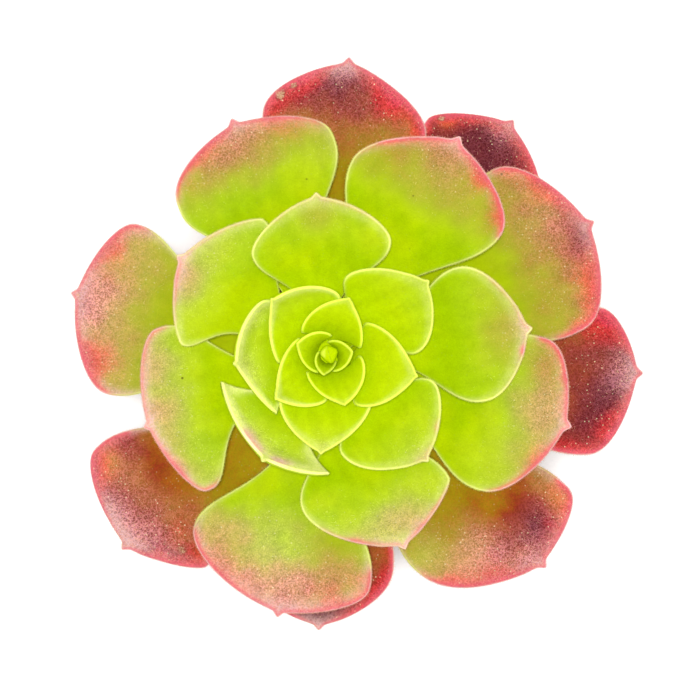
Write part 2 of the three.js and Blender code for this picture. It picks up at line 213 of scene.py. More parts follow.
@dataclass
class Surface:
    """A mesh being gathered: points in millimetres, faces, a material number a face, attributes a point."""

    points: list[Array] = field(default_factory=list)
    faces: list[Array] = field(default_factory=list)
    numbers: list[Array] = field(default_factory=list)
    values: dict[str, list[Array]] = field(default_factory=dict)
    count: int = 0

    def add(self, points: Array, faces: list[Array], number: int = 0, **values: Array) -> None:
        """Adds points with their faces.

        Args:
            points: Points, three columns.
            faces: Blocks of faces, each an array of point numbers with three or four columns.
            number: The material number of these faces.
            values: Attributes, one number a point; any that is left out is 0.
        """
        for name in set(values) | set(self.values):
            have = self.values.setdefault(name, [np.zeros(self.count)] if self.count else [])
            have.append(np.broadcast_to(values.get(name, 0.0), (len(points),)).astype(float))
        for block in faces:
            self.faces.append(block + self.count)
            self.numbers.append(np.full(len(block), number))
        self.points.append(points)
        self.count += len(points)

    def spikes(self, corners: list[Array], number: int, flush: Array) -> None:
        """Adds three-sided closed spikes.

        Args:
            corners: The three base corners and the tip, each with one row a spike.
            number: The material number of these faces.
            flush: The attribute flush, one number a spike.
        """
        first = 4 * np.arange(len(flush))[:, None]
        faces = [first + np.array(corner) for corner in ((0, 1, 3), (1, 2, 3), (2, 0, 3), (0, 2, 1))]
        points = np.stack(corners, axis=1).reshape(-1, 3)
        self.add(points, [np.concatenate(faces)], number, flush=np.repeat(flush, 4))

    def to_object(self, name: str, materials: list[bpy.types.Material]) -> bpy.types.Object:
        """Makes the object in the scene, at the origin, with its place in its mesh.

        Args:
            name: Name of the object.
            materials: The materials, in the order of their numbers.

        Returns:
            The new object.
        """
        points = np.concatenate(self.points) * MM
        corners = np.concatenate([block.ravel() for block in self.faces])
        sizes = np.concatenate([np.full(len(block), block.shape[1]) for block in self.faces])
        mesh = bpy.data.meshes.new(name)
        mesh.vertices.add(len(points))
        mesh.vertices.foreach_set("co", points.astype(np.float32).ravel())
        mesh.loops.add(len(corners))
        mesh.loops.foreach_set("vertex_index", corners.astype(np.int32))
        mesh.polygons.add(len(sizes))
        mesh.polygons.foreach_set("loop_start", (np.cumsum(sizes) - sizes).astype(np.int32))
        mesh.polygons.foreach_set("material_index", np.concatenate(self.numbers).astype(np.int32))
        mesh.polygons.foreach_set("use_smooth", np.ones(len(sizes), dtype=bool))
        for key, blocks in self.values.items():
            layer = mesh.attributes.new(key, "FLOAT", "POINT")
            layer.data.foreach_set("value", np.concatenate(blocks).astype(np.float32))
        for material in materials:
            mesh.materials.append(material)
        mesh.update(calc_edges=True)
        mesh.validate()
        piece = bpy.data.objects.new(name, mesh)
        bpy.context.scene.collection.objects.link(piece)
        return piece


# Materials


class Nodes:
    """Short hand for wiring a node material."""

    def __init__(self, name: str) -> None:
        """Makes a material with an empty tree, an output and its main shader."""
        self.material = bpy.data.materials.new(name)
        self.material.use_nodes = True
        self.tree = self.material.node_tree
        self.tree.nodes.clear()
        self.shader = self.new("ShaderNodeBsdfPrincipled")
        output = self.new("ShaderNodeOutputMaterial")
        self.link(self.shader.outputs["BSDF"], output.inputs["Surface"])
        self.place = self.new("ShaderNodeTexCoord").outputs["Object"]

    def new(self, kind: str, **settings: object) -> bpy.types.Node:
        """Adds a node and sets its properties."""
        node = self.tree.nodes.new(kind)
        for key, value in settings.items():
            setattr(node, key, value)
        return node

    def link(self, source: Socket, target: Socket) -> None:
        """Joins two sockets."""
        self.tree.links.new(source, target)

    def feed(self, socket: Socket, value: object) -> None:
        """Gives a socket a number, a colour or another node's socket."""
        if isinstance(value, Socket):
            self.link(value, socket)
        elif isinstance(value, tuple) and len(value) == 3 and socket.type == "RGBA":
            socket.default_value = linear(value)
        else:
            socket.default_value = value

    def attribute(self, name: str) -> Socket:
        """The number a mesh attribute holds."""
        return self.new("ShaderNodeAttribute", attribute_name=name).outputs["Fac"]

    def math(self, operation: str, a: object, b: object = 0.0, clamp: bool = False) -> Socket:
        """Result of one sum on two numbers or sockets."""
        node = self.new("ShaderNodeMath", operation=operation, use_clamp=clamp)
        self.feed(node.inputs[0], a)
        self.feed(node.inputs[1], b)
        return node.outputs[0]

    def add(self, a: object, b: object, clamp: bool = False) -> Socket:
        """Sum of two numbers or sockets."""
        return self.math("ADD", a, b, clamp)

    def times(self, a: object, b: object, clamp: bool = False) -> Socket:
        """Product of two numbers or sockets."""
        return self.math("MULTIPLY", a, b, clamp)

    def larger(self, a: object, b: object) -> Socket:
        """The larger of two numbers or sockets."""
        return self.math("MAXIMUM", a, b)

    def span(self, value: object, low: float, high: float, to_low: float = 0.0, to_high: float = 1.0,
             soft: bool = True) -> Socket:
        """Reads a value from low to high as a value from to_low to to_high, held at both ends."""
        node = self.new("ShaderNodeMapRange", interpolation_type="SMOOTHSTEP" if soft else "LINEAR")
        for key, number in (("Value", value), ("From Min", low), ("From Max", high),
                            ("To Min", to_low), ("To Max", to_high)):
            self.feed(node.inputs[key], number)
        return node.outputs["Result"]

    def noise(self, scale: float, detail: float = 3.0, roughness: float = 0.55,
              stretch: tuple[float, float, float] = (1.0, 1.0, 1.0)) -> Socket:
        """Cloudy noise from 0 to 1 with about `scale` features a metre."""
        mapping = self.new("ShaderNodeMapping")
        self.link(self.place, mapping.inputs["Vector"])
        mapping.inputs["Scale"].default_value = stretch
        node = self.new("ShaderNodeTexNoise")
        self.link(mapping.outputs["Vector"], node.inputs["Vector"])
        node.inputs["Scale"].default_value = scale
        node.inputs["Detail"].default_value = detail
        node.inputs["Roughness"].default_value = roughness
        return node.outputs["Fac"]

    def even_noise(self, scale: float, detail: float, roughness: float) -> Socket:
        """Cloudy noise around 0, from -0.5 to 0.5."""
        return self.math("SUBTRACT", self.noise(scale, detail, roughness), 0.5)

    def cells(self, scale: float) -> bpy.types.Node:
        """Cell pattern with about `scale` cells a metre."""
        node = self.new("ShaderNodeTexVoronoi")
        self.link(self.place, node.inputs["Vector"])
        node.inputs["Scale"].default_value = scale
        return node

    def dots(self, scale: float, size: tuple[float, float], chosen: tuple[float, float]) -> Socket:
        """Dots that are 1 in the middle, in the cells whose own number is past the chosen ones."""
        cell = self.cells(scale)
        dot = self.span(cell.outputs["Distance"], *size, 1.0, 0.0)
        return self.times(dot, self.span(cell.outputs["Color"], *chosen))

    def mix(self, amount: object, a: object, b: object, kind: str = "MIX") -> Socket:
        """Colour a over to colour b by the amount."""
        node = self.new("ShaderNodeMix", data_type="RGBA", blend_type=kind)
        self.feed(node.inputs["Factor"], amount)
        self.feed(node.inputs[6], a)
        self.feed(node.inputs[7], b)
        return node.outputs[2]

    def ramp(self, value: object, stops: Stops) -> Socket:
        """Colour read from stops of place and colour."""
        node = self.new("ShaderNodeValToRGB")
        self.feed(node.inputs["Fac"], value)
        elements = node.color_ramp.elements
        while len(elements) < len(stops):
            elements.new(0.5)
        for element, (place, colour) in zip(elements, stops):
            element.position = place
            element.color = linear(colour)
        return node.outputs["Color"]

    def bump(self, height: object, distance: float, strength: float) -> Socket:
        """Normal of a surface raised by the height times the distance in metres."""
        node = self.new("ShaderNodeBump")
        node.inputs["Distance"].default_value = distance
        node.inputs["Strength"].default_value = strength
        self.feed(node.inputs["Height"], height)
        return node.outputs["Normal"]

    def finish(self, colour: object, roughness: object, normal: Socket | None = None,
               **sockets: object) -> bpy.types.Material:
        """Feeds the main shader.

        Args:
            colour: Base colour.
            roughness: Roughness.
            normal: Normal, where the surface has a bump.
            sockets: Plain numbers for other sockets, by name with _ for a space.

        Returns:
            The finished material.
        """
        self.feed(self.shader.inputs["Base Color"], colour)
        self.feed(self.shader.inputs["Roughness"], roughness)
        if normal is not None:
            self.link(normal, self.shader.inputs["Normal"])
        for key, value in sockets.items():
            self.shader.inputs[key.replace("_", " ")].default_value = value
        return self.material


@dataclass(frozen=True)
class Traits:
    """What the steps of the leaf skin share: the node tree, the leaf's attributes and the noises.

    Attributes:
        margin: Distance from the leaf's margin in millimetres.
        blotch: Middling noise around 0.
        fine: Finest noise around 0.
        uneven: All noises together.
        strands: Curled strands of down, 1 on a strand.
    """

    nodes: Nodes
    fresh: Socket
    pigment: Socket
    flush: Socket
    margin: Socket
    down: Socket
    blotch: Socket
    fine: Socket
    uneven: Socket
    strands: Socket


@dataclass(frozen=True)
class LeafSkin:
    """Downy leaf skin: lime without pigment, then olive, tan and brown, and maroon where it has most.

    Colours are as they look in the studio's light, whose level the base colour is divided by.
    """

    level: float = 1.5
    fresh: Colour = (196, 222, 3)
    lime: Colour = (193, 219, 3)
    deep: Colour = (170, 205, 2)
    pigments: Stops = (
        (0.0, (184, 213, 3)), (0.15, (177, 194, 12)), (0.3, (174, 167, 18)), (0.45, (170, 134, 20)),
        (0.6, (172, 98, 28)), (0.75, (156, 60, 32)), (0.9, (124, 32, 32)), (1.0, (98, 18, 30)),
    )
    reds: Stops = (
        (0.0, (210, 154, 50)), (0.25, (230, 122, 52)), (0.5, (232, 92, 44)), (0.75, (224, 66, 54)),
        (1.0, (222, 54, 78)),
    )
    maroons: Stops = (
        (0.0, (142, 30, 28)), (0.4, (184, 32, 34)), (0.7, (212, 48, 48)), (1.0, (226, 56, 80)),
    )
    downs: Stops = (
        (0.0, (214, 226, 96)), (0.12, (208, 206, 124)), (0.3, (234, 194, 142)), (0.55, (242, 176, 156)),
        (0.75, (228, 152, 150)), (1.0, (204, 134, 142)),
    )
    glint: Colour = (255, 250, 190)
    cream: Colour = (244, 250, 142)
    soft_cream: Colour = (234, 247, 84)
    frost: Colour = (236, 240, 142)
    frost_and_sheen_pink: Colour = (246, 202, 196)
    pink: Colour = (242, 104, 120)
    pale: Colour = (254, 212, 206)
    underside: Colour = (164, 186, 48)
    dark_underside: Colour = (156, 60, 32)
    speck: Colour = (90, 80, 20)
    scar_edge: Colour = (132, 64, 40)
    scar: Colour = (190, 128, 84)
    scar_pale: Colour = (228, 186, 146)

    def strand(self, n: Nodes, scale: float) -> Socket:
        """Thin curled lines, 1 on a line and 0 between: where a smooth noise is near its middle."""
        return n.span(n.math("ABSOLUTE", n.even_noise(scale, 1.0, 0.4)), 0.012, 0.075, 1.0, 0.0)

    def ground(self, k: Traits) -> Socket:
        """The pigment's colour, with the greens where there is none, and the flush laid over it."""
        n = k.nodes
        skin = n.add(k.pigment, n.times(k.uneven, n.span(k.pigment, 0.0, 0.35, 0.04, 0.6)), clamp=True)
        green = n.mix(n.span(n.noise(80.0, 2.0), 0.38, 0.66), self.deep, self.lime)
        green = n.mix(k.fresh, green, self.fresh)
        body = n.mix(n.span(skin, 0.0, 0.16, 1.0, 0.0), n.ramp(skin, self.pigments), green)
        red = n.add(k.flush, n.times(k.uneven, n.span(k.flush, 0.0, 0.35, 0.0, 0.75)), clamp=True)
        tone = n.mix(n.span(k.pigment, 0.5, 0.8), n.ramp(red, self.reds), n.ramp(red, self.maroons))
        return n.mix(n.span(red, 0.0, 0.6, 0.0, 0.95), body, tone)

    def downy(self, k: Traits, body: Socket) -> Socket:
        """Down on the skin: a pale veil of fine curled strands, with single glints and a fine grain."""
        n = k.nodes
        stark = n.span(k.pigment, 0.05, 0.8, 0.15, 1.0)
        shaggy = n.times(n.math("SUBTRACT", k.strands, 0.42), stark)
        veil = n.times(k.down, n.add(n.times(shaggy, 0.8), 0.9))
        veil = n.times(veil, n.span(k.fine, -0.2, 0.2, 0.8, 1.2, soft=False))
        veil = n.times(veil, n.span(k.flush, 0.2, 0.8, 1.0, 0.5))
        tone = n.ramp(n.add(k.pigment, n.times(k.flush, 0.5)), self.downs)
        body = n.mix(n.math("MINIMUM", veil, 0.9), body, tone)
        dense = n.add(n.add(k.down, n.times(k.pigment, 0.35)), n.times(k.flush, 0.3))
        glints = n.times(n.dots(1500.0, (0.08, 0.3), (0.68, 0.76)), n.span(dense, 0.04, 0.5, 0.05, 0.9))
        body = n.mix(glints, body, n.mix(0.7, tone, self.glint))
        grain = n.add(n.add(n.times(k.fine, 1.5), n.times(k.blotch, 0.75)), n.times(shaggy, 0.5))
        grain = n.add(n.times(grain, n.span(dense, 0.05, 0.7, 0.3, 1.0)), 1.0)
        return n.mix(1.0, body, grain, "MULTIPLY")

    def marked(self, k: Traits, body: Socket) -> Socket:
        """Dark flecks, and dead skin with a darker edge where the attribute dry is high."""
        n = k.nodes
        flecks = n.dots(190.0, (0.03, 0.07), (0.62, 0.64))
        body = n.mix(n.times(flecks, 0.75), body, self.speck)
        dead = n.add(n.attribute("dry"), n.times(k.uneven, 2.2))
        body = n.mix(n.span(dead, 0.3, 0.6, 0.0, 0.7), body, self.scar_edge)
        scar = n.mix(n.span(k.fine, -0.1, 0.1), self.scar, self.scar_pale)
        return n.mix(n.span(dead, 0.5, 0.75), body, scar)

    def rimmed(self, k: Traits, body: Socket) -> Socket:
        """Pale bloom towards the margin, partly painted sheen, a pink line inside a red margin, and the pale
        rim itself.
        """
        n = k.nodes
        blushed = n.span(k.flush, 0.08, 0.5)
        # Pale bloom towards the margin; on steep margins it also stands for their sheen, painted in.
        streak = n.times(n.attribute("frost"), n.span(n.noise(700.0, 2.0), 0.35, 0.65, 0.75, 1.0))
        streak = n.times(streak, n.add(n.times(k.strands, 0.45), 0.7), clamp=True)
        pinkish = n.span(n.add(k.flush, k.pigment), 0.08, 0.4)
        body = n.mix(streak, body, n.mix(pinkish, self.frost, self.frost_and_sheen_pink))
        worn = n.add(k.margin, n.add(n.times(k.fine, 1.1), n.times(k.blotch, 0.9)))
        body = n.mix(n.times(n.span(worn, 0.3, 1.3, 0.6, 0.0), blushed), body, self.pink)
        rim = n.mix(blushed, n.mix(k.fresh, self.cream, self.soft_cream), self.pale)
        edge = n.add(k.margin, n.times(n.add(k.fine, k.blotch), 0.45))
        edge = n.add(edge, n.times(n.larger(blushed, k.fresh), 0.14))
        shown = n.larger(blushed, n.span(k.pigment, 0.15, 0.45, 1.0, 0.3))
        shown = n.times(shown, n.span(k.blotch, -0.12, 0.1, 0.75, 1.0))
        return n.mix(n.times(n.span(edge, 0.12, 0.5, 0.95, 0.0), shown), body, rim)

    def build(self) -> bpy.types.Material:
        """Builds the skin from the leaf attributes.

        It reads fresh, pigment, flush, margin (mm), down, dry and frost, a pale bloom that also paints
        the sheen of steep margins, upper, which is 1 on the upper face, and lift, a factor on the colour that
        evens out the shade of steep places as painted light.

        Returns:
            The material.
        """
        n = Nodes("leaf_skin")
        blotch, fine = n.even_noise(900.0, 3.0, 0.65), n.even_noise(4200.0, 2.0, 0.7)
        cloud = n.even_noise(150.0, 4.0, 0.62)
        k = Traits(
            n, n.attribute("fresh"), n.attribute("pigment"), n.attribute("flush"), n.attribute("margin"),
            n.attribute("down"), blotch, fine,
            uneven=n.add(n.times(cloud, 0.25), n.add(n.times(blotch, 0.35), n.times(fine, 0.5))),
            strands=n.larger(self.strand(n, 1250.0), n.times(self.strand(n, 1900.0), 0.85)),
        )
        body = self.rimmed(k, self.marked(k, self.downy(k, self.ground(k))))
        below = n.mix(n.span(k.pigment, 0.3, 0.9, 0.0, 0.75), self.underside, self.dark_underside)
        below = n.mix(k.fresh, below, self.fresh)
        body = n.mix(n.span(n.attribute("upper"), 0.15, 0.45, 1.0, 0.0), body, below)
        body = n.mix(1.0, body, n.math("DIVIDE", n.attribute("lift"), self.level), "MULTIPLY")
        normal = n.bump(n.add(n.times(fine, 0.6), n.times(blotch, 1.2)), 0.0001, 0.6)
        return n.finish(
            body, 0.7, normal, Subsurface_Weight=0.15, Subsurface_Scale=0.0015,
            Subsurface_Radius=(1.0, 1.0, 0.2), Specular_IOR_Level=0.0,
        )


@dataclass(frozen=True)
class MarginHair:
    """Short pale hairs on the leaf margins."""

    young: Colour = (240, 248, 110)
    old: Colour = (252, 190, 160)

    def build(self) -> bpy.types.Material:
        """Material that goes from the young to the old colour with the attribute flush."""
        n = Nodes("margin_hair")
        tone = n.add(n.attribute("flush"), n.times(n.noise(800.0), 0.2))
        colour = n.mix(n.span(tone, 0.2, 0.6), self.young, self.old)
        return n.finish(colour, 0.7, Specular_IOR_Level=0.05)


@dataclass(frozen=True)
class Terracotta:
    """Unglazed clay with turning lines, paler lime bloom and darker damp patches."""

    clay: Colour = (178, 96, 58)
    light: Colour = (204, 128, 86)
    dark: Colour = (138, 68, 42)
    bloom: Colour = (222, 196, 172)

    def build(self) -> bpy.types.Material:
        """Material on object coordinates, with fine grain, turning lines and a lime bloom."""
        n = Nodes("terracotta")
        colour = n.mix(n.span(n.noise(42.0, 5.0, 0.6), 0.35, 0.68), self.clay, self.light)
        colour = n.mix(n.span(n.noise(23.0, 4.0, 0.6), 0.55, 0.75, 0.0, 0.55), colour, self.dark)
        grain = n.noise(2600.0, 3.0, 0.7)
        colour = n.mix(n.span(grain, 0.55, 0.75, 0.0, 0.35), colour, self.dark)
        bloom = n.times(n.span(n.noise(60.0, 6.0, 0.7), 0.5, 0.72), n.attribute("bloom"))
        colour = n.mix(n.times(bloom, 0.6), colour, self.bloom)
        lines = n.noise(900.0, 2.0, 0.5, (0.02, 0.02, 1.0))
        normal = n.bump(n.add(lines, n.times(grain, 0.5)), 0.00022, 0.6)
        rough = n.span(n.noise(120.0), 0.3, 0.7, 0.78, 0.92)
        return n.finish(colour, rough, normal, Specular_IOR_Level=0.25)


@dataclass(frozen=True)
class PottingMix:
    """Dark crumbly potting mix."""

    dark: Colour = (42, 30, 22)
    brown: Colour = (88, 66, 46)

    def build(self) -> bpy.types.Material:
        """Material with crumbs in two sizes."""
        n = Nodes("potting_mix")
        crumb = n.cells(900.0).outputs["Distance"]
        tone = n.add(n.times(n.noise(700.0, 5.0, 0.7), 0.7), crumb)
        colour = n.mix(n.span(tone, 0.4, 1.0), self.dark, self.brown)
        height = n.add(n.noise(900.0, 5.0, 0.7), crumb)
        return n.finish(colour, 0.95, n.bump(height, 0.0008, 0.9), Specular_IOR_Level=0.2)


@dataclass(frozen=True)
class Grit:
    """Mixed grit on the soil: pumice, lava and bark chips, told apart by the attribute tone."""

    tones: Stops = (
        (0.0, (62, 44, 32)), (0.3, (104, 76, 54)), (0.5, (150, 130, 108)), (0.68, (196, 186, 168)),
        (0.85, (226, 220, 206)), (1.0, (120, 62, 44)),
    )
    pit: Colour = (70, 56, 44)

    def build(self) -> bpy.types.Material:
        """Material whose colour steps with the attribute tone."""
        n = Nodes("grit")
        pits = n.noise(2400.0, 4.0, 0.7)
        colour = n.mix(n.span(pits, 0.5, 0.75, 0.0, 0.5), n.ramp(n.attribute("tone"), self.tones), self.pit)
        return n.finish(colour, 0.92, n.bump(pits, 0.0003, 0.8), Specular_IOR_Level=0.25)


@dataclass(frozen=True)
class Bark:
    """Corky stem skin, greener near the leaves, with pale leaf scars."""

    cork: Colour = (132, 108, 78)
    crack: Colour = (78, 60, 42)
    green: Colour = (150, 176, 40)
    scar: Colour = (186, 168, 132)

    def build(self) -> bpy.types.Material:
        """Material that reads the attributes scar and young."""
        n = Nodes("bark")
        grain = n.noise(420.0, 5.0, 0.65, (1.0, 1.0, 0.35))
        colour = n.mix(n.span(grain, 0.35, 0.7), self.crack, self.cork)
        colour = n.mix(n.times(n.attribute("young"), 0.85), colour, self.green)
        colour = n.mix(n.span(n.attribute("scar"), 0.35, 0.85, 0.0, 0.8), colour, self.scar)
        fine = n.noise(2500.0, 3.0, 0.7)
        colour = n.mix(n.span(fine, 0.58, 0.75, 0.0, 0.5), colour, self.crack)
        height = n.add(grain, n.times(fine, 0.4))
        return n.finish(colour, 0.85, n.bump(height, 0.0005, 0.7), Specular_IOR_Level=0.3)


@dataclass(frozen=True)
class Backdrop:
    """Plain pale floor."""

    colour: Colour = (252, 252, 252)
    shade: Colour = (248, 248, 247)

    def build(self) -> bpy.types.Material:
        """Matt material with a faint grain."""
        n = Nodes("pale_floor")
        colour = n.mix(n.span(n.noise(3.0), 0.4, 0.6, 0.0, 0.15), self.colour, self.shade)
        return n.finish(colour, 0.9, Specular_IOR_Level=0.1)


# Rosette


@dataclass(frozen=True)
class Side:
    """One side of a blade.

    Attributes:
        width: Its half-width.
        widest: Where along the reach that is.
        fullness: How full the tip is.
        neck: How late the blade widens, as a power.
        base: Half-width at the base, where it isn't the usual one.
        sharp: Leaves the widest place as a corner.
    """

    width: float
    widest: float
    fullness: float
    neck: float = 1.35
    base: float | None = None
    sharp: bool = False


@dataclass(frozen=True)
class Patch:
    """A soft round patch on a leaf, and what it adds at its middle.

    Attributes:
        along: Its place along the leaf, 0 at the base and 1 at the tip.
        across: Its place across, 1 at the left margin and -1 at the right one.
        size: Its radius in millimetres.
        pigment: Pigment added.
        red: Red added.
        down: Down added.
        dry: Dead skin added.
    """

    along: float
    across: float
    size: float
    pigment: float = 0.0
    red: float = 0.0
    down: float = 0.0
    dry: float = 0.0


@dataclass(frozen=True)
class Tint:
    """A leaf's colouring, each from 0 to 1 where no unit is given.

    Attributes:
        base: Pigment at the base.
        tip: Pigment at the tip.
        start: Where along the leaf the tip's pigment begins.
        left: Red of the left margin.
        right: Red of the right margin.
        band: Width of the red band in millimetres.
        down: Down that shows towards the tip.
        rise: Where along the leaf the red begins at the left and at the right margin.
        frost: Pale bloom along the margin and at the tip; on steep margins it also paints their sheen.
        patches: Patches of other colour.
    """

    base: float = 0.0
    tip: float = 0.0
    start: float = 0.5
    left: float = 0.0
    right: float = 0.0
    band: float = 1.5
    down: float = 0.05
    rise: tuple[float, float] = (0.72, 0.72)
    frost: float = 0.0
    patches: tuple[Patch, ...] = ()


# How a leaf changes from the heart outward: (order, value) steps, read in between.
BASE_RADIUS = [(0, 1.3), (1, 1.8), (4, 3.0), (14, 6.2), (30, 6.3)]
BASE_HEIGHT = [(0, 103.0), (1, 102.3), (4, 100.5), (14, 97.3), (30, 86.5)]
BASE_SLOPE = [(0, 79.5), (1, 76.5), (2, 73), (3, 67.5), (6, 60), (9, 50), (12, 42), (17, 33), (22, 27),
              (30, 19)]
TIP_SLOPE = [(0, 66), (3, 44), (6, 34), (9, 24), (12, 16), (17, 7), (22, 0), (30, -10)]
THICKNESS = [(0, 0.7), (3, 1.0), (5, 1.2), (14, 2.0), (30, 2.2)]
MARGIN = [(0, 0.6), (14, 0.8), (30, 0.9)]
CUP = [(0, 0.1), (8, 0.1), (14, 0.06), (22, 0.03), (30, -0.04)]
BASE_HALF_WIDTH = [(0, 0.7), (14, 2.6), (30, 3.0)]


@dataclass(frozen=True)
class Leaf:
    """One leaf: its order on the stem, its tip's azimuth and distance, its sides, turned-up rim and tint."""

    order: int
    azimuth: float
    reach: float
    left: Side
    right: Side
    rim: tuple[float, float] = (0.0, 0.9)
    tint: Tint = Tint()

    @property
    def start(self) -> float:
        """Distance of the base from the heart over the reach."""
        return stepped(BASE_RADIUS, self.order) / self.reach

    @property
    def mean_width(self) -> float:
        """Mean of the two half-widths."""
        return (self.left.width + self.right.width) / 2.0

    def older(self, first: float, span: float) -> float:
        """Smooth step from 0 at the order `first` to 1 at `span` orders on."""
        return float(smooth((self.order - first) / span))


